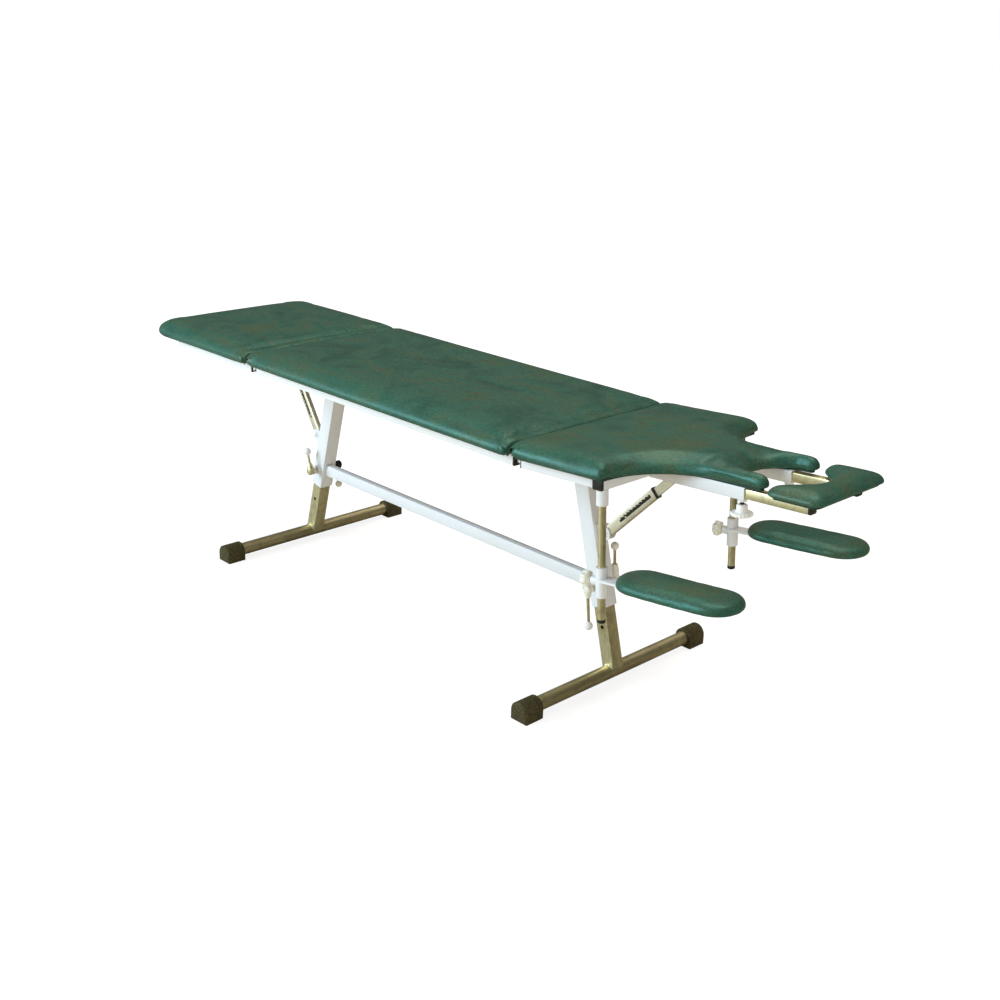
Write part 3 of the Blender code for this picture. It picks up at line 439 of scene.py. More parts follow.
LEATHERETTE = Leatherette("green_leatherette", "leatherette")
POWDER = Powder("white_powder_coat", "white_paint")
PLATED_X = Plated("plated_bar", "plated_steel", grain=Grain.ALONG_X)
PLATED_Y = Plated("plated_tube", "plated_steel", light=(0.800, 0.710, 0.430), dark=(0.560, 0.490, 0.285),
                  grain=Grain.ALONG_Y)
PLATED_Z = Plated("plated_rod", "plated_steel", grain=Grain.ALONG_Z)
PLATED_FOOT = Plated("plated_post_foot", "plated_steel", grain=Grain.ALONG_Z, lean=-LEG_LEAN)
PLATED_HEAD = Plated("plated_post_head", "plated_steel", grain=Grain.ALONG_Z, lean=LEG_LEAN)
# partly painted highlight: the stays' plating is paler than the other plated parts, standing in for the bright
# reflection on their faces
PLATED_STAY_LIT = Plated("plated_stay_painted_highlight", "plated_steel", light=(0.980, 0.935, 0.740), dark=(0.860, 0.815, 0.630),
                     stain=(0.620, 0.575, 0.420), lean=math.radians(-38.0))
RUBBER = Moulded("boot_rubber", "rubber", (0.030, 0.026, 0.012), (0.104, 0.090, 0.042), 0.58, spread=0.28,
                 specular=0.12, mottle=(260.0, 7.0, 0.4), cover=(0.34, 0.66, 0.15, 0.85), cloud=120.0,
                 pits=(420.0, 4.0), relief=(0.45, 0.0007))
CREAM = Moulded("cream_knob", "cream_plastic", (0.840, 0.835, 0.740), (0.640, 0.610, 0.500))
WHITE = Moulded("white_knob", "white_plastic", (0.860, 0.860, 0.850), (0.700, 0.680, 0.620), 0.30)
BLACK = Moulded("black_cap", "black_plastic", (0.016, 0.015, 0.013), (0.045, 0.040, 0.032), 0.42)
PLYWOOD = Plywood("plain_plywood", "plywood")


@dataclass
class Frame:
    """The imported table: its nodes, its joints, and the materials made for it so far."""

    nodes: dict[str, Piece]
    joints: dict[str, dict]
    made: dict[Finish, bpy.types.Material] = field(default_factory=dict)

    def pivot(self, joint: str) -> Vector:
        """Find where a joint's axis lies.

        Args:
            joint: Name of the joint.

        Returns:
            A point on the axis.
        """
        return Vector(self.joints[joint]["pos_m"])

    def axis(self, joint: str) -> Vector:
        """Find the direction of a joint's axis.

        Args:
            joint: Name of the joint.

        Returns:
            The direction, one metre long.
        """
        return Vector(self.joints[joint]["axis"]).normalized()

    def reach(self, node: str, origin: Vector, axis: Vector) -> tuple[float, float]:
        """Measure how far a node reaches along a line.

        Args:
            node: Name of the node.
            origin: Where the line starts.
            axis: Its direction.

        Returns:
            The nearest and the farthest point, from the line's start.
        """
        spread = [(vert.co - origin).dot(axis) for vert in self.nodes[node].data.vertices]
        return min(spread), max(spread)

    def paint(self, piece: Piece, finish: Finish) -> None:
        """Give a piece its finish's material, which is made when it is first asked for.

        Args:
            piece: The piece.
            finish: Its finish.
        """
        if finish not in self.made:
            self.made[finish] = finish.material()
        piece.data.materials.clear()
        piece.data.materials.append(self.made[finish])

    def coat(self, piece: Piece, finish: Finish, sharp: float) -> None:
        """Smooth a made piece and give it its material.

        Args:
            piece: The piece.
            finish: Its finish.
            sharp: Angle in degrees from which an edge stays sharp.
        """
        piece.data.shade_smooth()
        piece.data.set_sharp_from_angle(angle=math.radians(sharp))
        self.paint(piece, finish)

    def add(self, name: str, bm: Shape, finish: Finish, body: str, sharp: float = 35.0) -> Piece:
        """Make a piece of a bmesh that lies where the piece belongs, and let it ride on a body.

        Args:
            name: Name of the piece.
            bm: Its shape, which is freed.
            finish: Its finish.
            body: Body that it moves with.
            sharp: Angle in degrees from which an edge stays sharp.

        Returns:
            The piece.
        """
        piece = placed(name, bm)
        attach(piece, body)
        self.coat(piece, finish, sharp)
        LOG.info("%s rides on %s, %d faces", name, body, len(piece.data.polygons))
        return piece

    def dress(self, node: str, finish: Finish) -> None:
        """Give a carried-over node its material and smooth its rounded faces.

        Args:
            node: Name of the node.
            finish: Its finish.
        """
        piece = self.nodes[node]
        self.paint(piece, finish)
        smooth = piece.modifiers.new("smooth_rounds", "NODES")
        smooth.node_group = smooth_rounds()
        LOG.info("%s keeps its shape, finish %s", node, finish.name)


def placed(name: str, bm: Shape) -> Piece:
    """Make an object of a bmesh that lies where the object belongs.

    Args:
        name: Name of the object.
        bm: Its shape, which is freed.

    Returns:
        The object.
    """
    mesh = bpy.data.meshes.new(name)
    bm.to_mesh(mesh)
    bm.free()
    made = bpy.data.objects.new(name, mesh)
    bpy.context.scene.collection.objects.link(made)
    return made


def smooth_rounds() -> bpy.types.NodeTree:
    """Node group that joins loose triangles and smooths all but their sharp edges.

    Returns:
        The group, made when it is first asked for.
    """
    name = "smooth_rounds"
    if name in bpy.data.node_groups:
        return bpy.data.node_groups[name]
    group = bpy.data.node_groups.new(name, "GeometryNodeTree")
    group.interface.new_socket("Geometry", in_out="INPUT", socket_type="NodeSocketGeometry")
    group.interface.new_socket("Geometry", in_out="OUTPUT", socket_type="NodeSocketGeometry")
    nodes = Nodes(group)
    start = nodes.node("NodeGroupInput", {}).outputs[0]
    merge = nodes.node("GeometryNodeMergeByDistance", {"Geometry": start, "Distance": 2 * SAME_POINT}).outputs[0]
    drop = nodes.node("GeometryNodeRemoveAttribute", {"Geometry": merge, "Name": "custom_normal"}).outputs[0]
    faces = nodes.node("GeometryNodeSetShadeSmooth", {"Geometry": drop}).outputs[0]
    angle = nodes.node("GeometryNodeInputMeshEdgeAngle", {}).outputs["Unsigned Angle"]
    over = nodes.node("FunctionNodeCompare", {0: angle, 1: SHARP_EDGE}).outputs[0]
    inputs = {"Geometry": faces, "Selection": over, "Shade Smooth": False}
    creases = nodes.node("GeometryNodeSetShadeSmooth", inputs, domain="EDGE").outputs[0]
    nodes.node("NodeGroupOutput", {0: creases})
    return group


def frame_at(point: Vector, axis: Vector, across: Vector = Vector((1.0, 0.0, 0.0))) -> Matrix:
    """Place for a shape that was made round Z.

    Args:
        point: Where its origin goes.
        axis: Where its Z goes.
        across: Roughly where its X goes.

    Returns:
        The placing matrix.
    """
    z = axis.normalized()
    x = (across - z * across.dot(z)).normalized()
    y = z.cross(x)
    turn = Matrix((x, y, z)).transposed()
    return Matrix.Translation(point) @ turn.to_4x4()


def closed(bm: Shape, place: Matrix) -> Shape:
    """Merge a shape's doubles, turn its faces outwards and put it in its place.

    Args:
        bm: The shape.
        place: Its place.

    Returns:
        The same shape.
    """
    bmesh.ops.remove_doubles(bm, verts=bm.verts, dist=1e-6)
    bmesh.ops.recalc_face_normals(bm, faces=bm.faces)
    bmesh.ops.transform(bm, matrix=place, verts=bm.verts)
    return bm


def turned(profile: list[tuple[float, float]], place: Matrix, steps: int = 40) -> Shape:
    """Shape turned round Z.

    Args:
        profile: Radius and height of each point, from the axis back to the axis.
        place: Its place.
        steps: Facets round the axis.

    Returns:
        The shape.
    """
    bm = bmesh.new()
    points = [bm.verts.new((radius, 0.0, height)) for radius, height in profile]
    chain = [bm.edges.new(pair) for pair in zip(points, points[1:])]
    bmesh.ops.spin(bm, geom=points + chain, cent=(0, 0, 0), axis=(0, 0, 1), angle=2 * math.pi,
                   steps=steps, use_merge=True)
    return closed(bm, place)


def joined(shapes: list[Shape]) -> Shape:
    """Several shapes as one.

    Args:
        shapes: The shapes, which are freed.

    Returns:
        One bmesh that holds them all.
    """
    whole = bmesh.new()
    for bm in shapes:
        mesh = bpy.data.meshes.new("part")
        bm.to_mesh(mesh)
        bm.free()
        whole.from_mesh(mesh)
        bpy.data.meshes.remove(mesh)
    return whole


def smoothed(bm: Shape, verts: list[bmesh.types.BMVert], passes: int) -> None:
    """Draw some of a shape's points towards their neighbours.

    Args:
        bm: The shape.
        verts: The points.
        passes: How often.
    """
    for _ in range(passes):
        bmesh.ops.smooth_vert(bm, verts=verts, factor=0.5, use_axis_x=True, use_axis_y=True, use_axis_z=True)


def rounded(bm: Shape, edges: list[bmesh.types.BMEdge], radius: float, steps: int) -> None:
    """Round some of a shape's edges.

    Args:
        bm: The shape.
        edges: The edges.
        radius: How far the rounding reaches.
        steps: Facets of the rounding.
    """
    bmesh.ops.bevel(bm, geom=edges, offset=radius, offset_type="OFFSET", affect="EDGES", segments=steps,
                    profile=0.5, material=-1)


def block(x: float, y: float, z: float) -> Shape:
    """Plain block round the origin.

    Args:
        x: Its length along X.
        y: Its length along Y.
        z: Its length along Z.

    Returns:
        The shape.
    """
    bm = bmesh.new()
    bmesh.ops.create_cube(bm, size=1.0)
    bmesh.ops.scale(bm, vec=(x, y, z), verts=bm.verts)
    return bm


def fastener(kind: Head, radius: float, height: float, place: Matrix) -> Shape:
    """Head of a bolt, screw or cap nut on its washer, standing on Z = 0.

    Args:
        kind: Kind of head.
        radius: Its radius.
        height: Its height.
        place: Its place.

    Returns:
        The shape.
    """
    sides, dome = kind.value
    lip = 0.0011
    washer = turned([(0, 0), (radius * 1.45, 0), (radius * 1.5, lip * 0.3), (radius * 1.5, lip), (0, lip)],
                    place, 28)
    if dome:
        arcs = [math.radians(step * 15) for step in range(7)]
        rise = height - lip * 1.6
        crown = [(radius * math.cos(a), lip * 1.6 + rise * math.sin(a)) for a in arcs[:-1]]
        head = turned([(0, lip * 0.5), (radius, lip * 0.5), *crown, (0, height)], place, sides)
        return joined([washer, head])
    bm = bmesh.new()
    bmesh.ops.create_cone(bm, cap_ends=True, segments=sides, radius1=radius, radius2=radius, depth=height,
                          matrix=Matrix.Translation((0, 0, height / 2 + lip * 0.5)))
    rims = [edge for edge in bm.edges if all(vert.co.z > height / 2 for vert in edge.verts)]
    rounded(bm, rims, radius * 0.12, 2)
    return joined([washer, closed(bm, place)])


def weld(path: list[Vector], radius: float, ring: bool = True) -> Shape:
    """Rippled weld bead along a path.

    Args:
        path: Corners of the path.
        radius: Half the bead's width.
        ring: Whether the path closes on itself.

    Returns:
        The bead.
    """
    corners = path + path[:1] if ring else path
    points = []
    for start, end in zip(corners, corners[1:]):
        count = max(1, round((end - start).length / (radius * 0.7)))
        points += [start.lerp(end, step / count) for step in range(count)]
    if not ring:
        points.append(corners[-1])
    curve = bpy.data.curves.new("bead", "CURVE")
    curve.dimensions = "3D"
    curve.bevel_depth = radius
    curve.bevel_resolution = 2
    curve.use_fill_caps = True
    spline = curve.splines.new("POLY")
    spline.points.add(len(points) - 1)
    spline.use_cyclic_u = ring
    for index, (knot, point) in enumerate(zip(spline.points, points)):
        knot.co = (*point, 1.0)
        knot.radius = 1.0 + 0.16 * math.sin(2.1 * index) + 0.08 * math.sin(0.7 * index)
    holder = bpy.data.objects.new("bead", curve)
    mesh = bpy.data.meshes.new_from_object(holder)
    bm = bmesh.new()
    bm.from_mesh(mesh)
    bpy.data.objects.remove(holder)
    bpy.data.curves.remove(curve)
    bpy.data.meshes.remove(mesh)
    return closed(bm, Matrix.Identity(4))


@dataclass
class Cushion:
    """A stuffed cushion, blown up by a cloth simulation inside the space of its plain solid."""

    name: str
    body: str
    up: Vector
    board: str | None
    voxel: float
    fill: float = 0.8
    rounding: int = 5
    rim: int = 2
    shrink: float = 0.0010
    cap: float = 0.0055
    pressure: float = 4.0
    frames: int = 20
    slope: float = 0.042
    drop: float = 0.013
    calm: int = 0
    seams: tuple[str, ...] = ()
    seam_keep: float = 0.014
    even: int = 14
    skin: float = 0.002
    steep: float = 0.3
    sharp: float = 60.0
    board_gap: float = 0.0005

    def start_shape(self, frame: Frame, turn: Matrix) -> Piece:
        """Copy of the plain solid with its recess filled, laid level and cut into even cells.

        Args:
            frame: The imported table.
            turn: Matrix that lays the cushion level.

        Returns:
            An object with the even mesh.
        """
        bm = bmesh.new()
        bm.from_mesh(frame.nodes[self.name].data)
        bmesh.ops.remove_doubles(bm, verts=bm.verts, dist=SAME_POINT)
        bmesh.ops.transform(bm, matrix=turn, verts=bm.verts)
        if self.board:
            self.fill_recess(bm)
        pad = placed(f"{self.name}_cover", bm)
        even = pad.modifiers.new("even", "REMESH")
        even.mode = "VOXEL"
        even.voxel_size = self.voxel
        self.settle(pad)
        return pad

    @staticmethod
    def fill_recess(bm: Shape) -> None:
        """Close the recess that holds the board, so that the cover blows up as one block.

        Args:
            bm: The cushion, lying level.
        """
        roof_low, roof_high, wall_low, wall_high = 0.003, 0.012, 0.0015, 0.0065
        bottom = min(vert.co.z for vert in bm.verts)
        bm.normal_update()
        inner = []
        for face in bm.faces:
            height = face.calc_center_median().z - bottom
            roof = face.normal.z < -0.99 and roof_low < height < roof_high
            wall = abs(face.normal.z) < 0.1 and wall_low < height < wall_high
            if roof or wall:
                inner.append(face)
        bmesh.ops.delete(bm, geom=inner, context="FACES")
        rim = [edge for edge in bm.edges if edge.is_boundary]
        bmesh.ops.holes_fill(bm, edges=rim, sides=0)
        bmesh.ops.recalc_face_normals(bm, faces=bm.faces)

    @staticmethod
    def settle(pad: Piece) -> None:
        """Apply what modifiers a piece has.

        Args:
            pad: The piece.
        """
        shape = pad.evaluated_get(bpy.context.evaluated_depsgraph_get())
        mesh = bpy.data.meshes.new_from_object(shape)
        pad.modifiers.clear()
        old, pad.data = pad.data, mesh
        bpy.data.meshes.remove(old)

    def resting(self, bm: Shape) -> set[int]:
        """Find the part of the underside that lies on the frame, without the rim that rounds up.

        Args:
            bm: The even cushion, lying level.

        Returns:
            Indices of its vertices.
        """
        bm.verts.index_update()
        bottom = min(vert.co.z for vert in bm.verts)
        flat = {vert for vert in bm.verts if vert.co.z < bottom + self.voxel * 0.4}
        for _ in range(self.rim):
            flat = {vert for vert in flat if all(edge.other_vert(vert) in flat for edge in vert.link_edges)}
        return {vert.index for vert in flat}

    def soften(self, pad: Piece) -> set[int]:
        """Round the cushion's sides all the way under.

        Args:
            pad: The even cushion, lying level.

        Returns:
            Indices of the vertices that stay where they are.
        """
        bm = bmesh.new()
        bm.from_mesh(pad.data)
        held = self.resting(bm)
        free = [vert for vert in bm.verts if vert.index not in held]
        smoothed(bm, free, self.rounding)
        bm.to_mesh(pad.data)
        bm.free()
        return held

    def blow_up(self, pad: Piece, held: set[int]) -> None:
        """Swell the cover with the middle of its underside held, and cap how far it moves.

        Args:
            pad: The rounded cushion, lying level.
            held: Indices of the vertices that stay where they are.
        """
        mesh = pad.data
        bottom = min(vert.co.z for vert in mesh.vertices)
        group = pad.vertex_groups.new(name="held")
        group.add(sorted(held), 1.0, "ADD")
        inward = [vert.normal * self.shrink for vert in mesh.vertices]
        for vert, step in zip(mesh.vertices, inward):
            if vert.index not in held:
                vert.co -= step
        before = [vert.co.copy() for vert in mesh.vertices]
        cloth = pad.modifiers.new("blow_up", "CLOTH")
        cloth.settings.quality = 4
        cloth.settings.use_pressure = True
        cloth.settings.uniform_pressure_force = self.pressure
        cloth.settings.effector_weights.gravity = 0.0
        cloth.settings.vertex_group_mass = group.name
        cloth.point_cache.frame_start = 1
        cloth.point_cache.frame_end = self.frames
        scene = bpy.context.scene
        for step in range(1, self.frames + 1):
            scene.frame_set(step)
        self.settle(pad)
        scene.frame_set(1)
        for vert, start in zip(pad.data.vertices, before):
            move = vert.co - start
            if move.length > self.cap:
                vert.co = start + move * (self.cap / move.length)
            vert.co.z = max(vert.co.z, bottom)

    @staticmethod
    def stretch(pad: Piece, solid: Piece, turn: Matrix) -> None:
        """Draw the cover out until its sides reach as far as the plain solid's.

        Args:
            pad: The cushion, lying level.
            solid: The plain solid.
            turn: Matrix that lays it level.
        """
        for axis in (0, 1):
            room = [(turn @ vert.co)[axis] for vert in solid.data.vertices]
            has = [vert.co[axis] for vert in pad.data.vertices]
            low, high, least = min(room), max(room), min(has)
            share = (high - low) / (max(has) - least)
            for vert in pad.data.vertices:
                vert.co[axis] = low + (vert.co[axis] - least) * share

    def wear_round(self, pad: Piece, seams: list[float]) -> None:
        """Let the top slope down towards the free edges, and smooth out what puckers are left.

        Args:
            pad: The cushion, lying level.
            seams: Where along the table it meets another cushion and keeps its height.
        """
        bm = bmesh.new()
        bm.from_mesh(pad.data)
        bm.normal_update()
        levels = [vert.co.z for vert in bm.verts]
        bottom, rise = min(levels), max(levels) - min(levels)
        free = [vert for vert in bm.verts if vert.co.z > bottom + self.skin]
        smoothed(bm, free, self.calm)
        walls = [vert.co for vert in free if abs(vert.normal.z) < self.steep
                 and all(abs(vert.co.x - seam) > self.seam_keep for seam in seams)]
        near = KDTree(len(walls))
        for index, co in enumerate(walls):
            near.insert((co.x, co.y, 0.0), index)
        near.balance()
        falls = {}
        for vert in free:
            away = near.find((vert.co.x, vert.co.y, 0.0))[2]
            if away < self.slope:
                falls[vert] = self.drop * (1.0 - away / self.slope) ** 2
        for _ in range(self.even):
            around = {vert: [falls[other] for edge in vert.link_edges if (other := edge.other_vert(vert)) in falls]
                      for vert in falls}
            falls = {vert: (fall + sum(around[vert])) / (1 + len(around[vert])) for vert, fall in falls.items()}
        for vert, fall in falls.items():
            vert.co.z -= fall * (vert.co.z - bottom) / rise
        bm.to_mesh(pad.data)
        bm.free()

    def build(self, frame: Frame) -> Piece:
        """Make the cushion and let it stand for its plain solid.

        Args:
            frame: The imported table.

        Returns:
            The cushion.
        """
        turn = self.up.rotation_difference(UP).to_matrix().to_4x4()
        pad = self.start_shape(frame, turn)
        held = self.soften(pad)
        self.blow_up(pad, held)
        finer = pad.modifiers.new("finer", "SUBSURF")
        finer.levels = finer.render_levels = 1
        self.settle(pad)
        self.wear_round(pad, [(turn @ frame.pivot(joint)).x for joint in self.seams])
        self.stretch(pad, frame.nodes[self.name], turn)
        if self.board:
            self.cut_recess(frame, pad, turn)
        pad.data.transform(turn.inverted())
        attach(pad, self.body)
        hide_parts(self.name)
        frame.coat(pad, LEATHERETTE, self.sharp)
        LOG.info("%s rides on %s, %d faces", pad.name, self.body, len(pad.data.polygons))
        return pad

    def cut_recess(self, frame: Frame, pad: Piece, turn: Matrix) -> None:
        """Cut the board's room out of the underside.

        Args:
            frame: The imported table.
            pad: The finished cushion, lying level.
            turn: Matrix that lays the cushion level.
        """
        bm = bmesh.new()
        bm.from_mesh(frame.nodes[self.board].data)
        bmesh.ops.remove_doubles(bm, verts=bm.verts, dist=SAME_POINT)
        bmesh.ops.transform(bm, matrix=turn, verts=bm.verts)
        bm.normal_update()
        for vert in bm.verts:
            vert.co += vert.normal * self.board_gap
        room = placed("room", bm)
        cut = pad.modifiers.new("recess", "BOOLEAN")
        cut.operation = "DIFFERENCE"
        cut.solver = "MANIFOLD"
        cut.object = room
        self.settle(pad)
        bpy.data.meshes.remove(room.data)


@dataclass
class Gusset:
    """Strip of cover that is tucked into a seam between two cushions."""

    name: str
    joint: str
    moving: str
    toward: float
    width: float = 0.4940
    thick: float = 0.0010
    shoulder: float = 0.026
    end_fall: float = 0.018
    middle: float = 0.006
    ripple: float = 0.0009
    sway: float = 0.0007
    waves: tuple[float, float, float] = (95.0, 231.0, 61.0)  # of the ripple's two parts and of the sway, per metre
    fade: float = 0.010
    cuts: int = 95
    sharp: float = 50.0
    # half section of the tuck: away from the seam's middle, and above the cushion's top at the shoulder
    tuck: tuple[tuple[float, float], ...] = (
        (0.0, -0.0215), (0.0016, -0.0185), (0.0026, -0.0130), (0.0040, -0.0080), (0.0063, -0.0044),
        (0.0095, -0.0020), (0.0140, -0.0008), (0.0190, 0.0002), (0.0240, 0.0006), (0.0300, 0.0))

    def heights(self, cushion: Piece, x: float, rows: list[float]) -> list[float]:
        """Height of a cushion's top along the seam.

        Args:
            cushion: The cushion.
            x: Where along the table.
            rows: Where across the table.

        Returns:
            The height in each row, carried on downwards where the cushion ends.
        """
        mesh = cushion.data
        tree = BVHTree.FromPolygons([vert.co for vert in mesh.vertices], [face.vertices for face in mesh.polygons])
        hits = [tree.ray_cast(Vector((x, y, 2.0)), -UP)[0] for y in rows]
        found = [hit.z for hit in hits if hit]
        top = sorted(found)[len(found) // 2]
        raw = [max(hit.z, top - self.end_fall) if hit else top - self.end_fall for hit in hits]
        spans = [raw[max(0, at - 1):at + 2] for at in range(len(raw))]
        return [sum(span) / len(span) for span in spans]

    def build(self, frame: Frame, foot_side: Piece, head_side: Piece) -> None:
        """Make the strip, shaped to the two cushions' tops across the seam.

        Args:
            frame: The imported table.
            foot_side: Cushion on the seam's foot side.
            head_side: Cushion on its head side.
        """
        seam = frame.pivot(self.joint)
        bm = bmesh.new()
        section = [(-x, z) for x, z in reversed(self.tuck[1:])] + list(self.tuck)
        half = self.width / 2
        chain = [bm.verts.new((seam.x + x, -half, z)) for x, z in section]
        edges = [bm.edges.new(pair) for pair in zip(chain, chain[1:])]
        swept = bmesh.ops.extrude_edge_only(bm, edges=edges)["geom"]
        moved = [item for item in swept if isinstance(item, bmesh.types.BMVert)]
        bmesh.ops.translate(bm, verts=moved, vec=(0, self.width, 0))
        long = [edge for edge in bm.edges if abs(edge.verts[0].co.y - edge.verts[1].co.y) > half]
        bmesh.ops.subdivide_edges(bm, edges=long, cuts=self.cuts)
        pitch = self.width / (self.cuts + 1)
        rows = [round(row * pitch - half, 5) for row in range(self.cuts + 2)]
        tops = [self.heights(cushion, seam.x + sign * self.shoulder, rows)
                for cushion, sign in ((foot_side, -1), (head_side, 1))]
        for vert in bm.verts:
            row, across = round((vert.co.y + half) / pitch), vert.co.x - seam.x
            y = rows[row]
            share = min(1.0, max(0.0, 0.5 + across / self.middle))
            ripple = math.sin(y * self.waves[0]) * 0.6 + math.sin(y * self.waves[1] + 1.0) * 0.4
            deep = math.exp(-abs(across) / self.fade)
            vert.co.z += tops[0][row] * (1 - share) + tops[1][row] * share + self.ripple * ripple * deep
            vert.co.x += self.sway * math.sin(y * self.waves[2] + 0.5) * deep
        bmesh.ops.recalc_face_normals(bm, faces=bm.faces)
        run = sum(face.calc_area() for face in bm.faces) / self.width
        strip = placed(self.name, bm)
        finer = strip.modifiers.new("finer", "SUBSURF")
        finer.levels = finer.render_levels = 1
        wall = strip.modifiers.new("wall", "SOLIDIFY")
        wall.thickness = self.thick
        wall.offset = -1.0
        Cushion.settle(strip)
        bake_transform(strip)
        frame.coat(strip, LEATHERETTE, self.sharp)
        LOG.info("%s bends between main_frame and %s", self.name, self.moving)


@dataclass
class Lever:
    """Clamp lever: hub on the clamp's axis, tapered socket, rod and ball."""

    leg: str
    side: str
    hub: Finish
    ball: Finish
    hub_radius: float = 0.0105
    socket: float = 0.0075
    neck: float = 0.0210
    rod_radius: float = 0.0032
    ball_radius: float = 0.0092
    stud: float = 0.008
    stud_radius: float = 0.004
    tip_room: float = 0.009

    def build(self, frame: Frame) -> None:
        """Make the lever and let it stand for its plain solid.

        Args:
            frame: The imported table.
        """
        name = f"{self.leg}_clamp_lever_{self.side}"
        sign = dict(SIDES)[self.side]
        pivot = frame.pivot(f"{self.leg}_clamp_turn_{self.side}")
        points = [vert.co.copy() for vert in frame.nodes[name].data.vertices]
        tip = max(points, key=lambda co: math.hypot(co.x - pivot.x, co.z - pivot.z))
        level = [co.y * sign for co in points]
        start, end = min(level), max(level)
        hub_in = start + self.stud
        middle = Vector((pivot.x, sign * (hub_in + end) / 2, pivot.z))
        reach = Vector((tip.x - pivot.x, 0.0, tip.z - pivot.z))
        arm = reach.normalized()
        length = reach.length - self.tip_room
        out = ACROSS * sign
        r, depth, edge = self.hub_radius, end - hub_in, 0.0018
        hub = turned([(0, 0), (r - edge, 0), (r, edge), (r, depth * 0.42), (r * 0.93, depth * 0.46),
                      (r * 0.93, depth * 0.54), (r, depth * 0.58), (r, depth - edge), (r - edge, depth),
                      (r * 0.55, depth), (r * 0.5, depth - 0.0012), (0, depth - 0.0012)],
                     frame_at(middle - out * depth / 2, out, arm))
        neck = turned([(0, 0), (r * 0.9, 0), (r * 0.9, 0.006), (self.socket, self.neck * 0.67),
                       (self.socket * 0.72, self.neck), (0, self.neck)], frame_at(middle, arm))
        piece = frame.add(f"{name}_hub", joined([hub, neck]), self.hub, name)
        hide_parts(name)
        stud_end = self.stud + 0.001
        stud = turned([(0, 0), (self.stud_radius, 0), (self.stud_radius, stud_end), (0, stud_end)],
                      frame_at(Vector((pivot.x, sign * start, pivot.z)), out))
        t, end = self.rod_radius, length - 0.006
        rod = turned([(0, 0.012), (t * 1.25, 0.012), (t * 1.1, 0.03), (t, length * 0.7), (t, end), (0, end)],
                     frame_at(middle, arm), 24)
        frame.add(f"{name}_rod", joined([stud, rod]), PLATED_Z, name)
        b = self.ball_radius
        arcs = [math.radians(-62 + step * 152 / 12) for step in range(13)]
        dome = [(b * math.cos(a), length + b * math.sin(a)) for a in arcs[:-1]]
        foot = length + b * math.sin(arcs[0]) - 0.0016
        ball = turned([(0, foot), (b * 0.42, foot), *dome, (0, length + b)], frame_at(middle, arm), 32)
        frame.add(f"{name}_ball", ball, self.ball, name)


@dataclass
class StarKnob:
    """Lobed hand knob on its stem, with a rounded rim and a dished face."""

    side: str
    radius: float = 0.0168
    lobe: float = 0.0026
    lobes: int = 7
    thick: float = 0.0130
    stem: float = 0.0080
    dish_rim: float = 0.0045
    dish_wall: float = 0.0012
    dish: float = 0.0014

    def build(self, frame: Frame) -> None:
        """Make the knob and let it stand for its plain solid.

        Args:
            frame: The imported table.
        """
        name = f"armrest_knob_{self.side}"
        pivot, axis = frame.pivot(f"armrest_knob_turn_{self.side}"), -frame.axis(f"armrest_knob_turn_{self.side}")
        place = frame_at(pivot, axis, UP)
        bm = bmesh.new()
        made = bmesh.ops.create_circle(bm, cap_ends=True, segments=12 * self.lobes, radius=self.radius)
        for vert in made["verts"]:
            turn = math.atan2(vert.co.y, vert.co.x)
            vert.co *= 1.0 - self.lobe / self.radius * (0.5 - 0.5 * math.cos(self.lobes * turn))
            vert.co.z = self.stem
        front = bm.faces[:]
        swept = bmesh.ops.extrude_face_region(bm, geom=front)["geom"]
        moved = [item for item in swept if isinstance(item, bmesh.types.BMVert)]
        bmesh.ops.translate(bm, verts=moved, vec=(0, 0, self.thick))
        bmesh.ops.recalc_face_normals(bm, faces=bm.faces)
        rims = [edge for edge in bm.edges if abs(edge.verts[0].co.z - edge.verts[1].co.z) < 1e-6]
        rounded(bm, rims, self.lobe, 3)
        face = max(bm.faces, key=lambda item: item.calc_center_median().z + item.calc_area())
        bmesh.ops.inset_individual(bm, faces=[face], thickness=self.dish_rim, depth=0.0)
        bmesh.ops.inset_individual(bm, faces=[face], thickness=self.dish_wall, depth=-self.dish)
        piece = frame.add(name + "_grip", closed(bm, place), CREAM, name, 40)
        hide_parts(name)
        stem = turned([(0, 0), (0.004, 0), (0.004, self.stem * 0.4), (0.0075, self.stem * 0.5),
                       (0.0085, self.stem + 0.001), (0, self.stem + 0.001)], place)
        frame.add(name + "_stem", stem, CREAM, name)


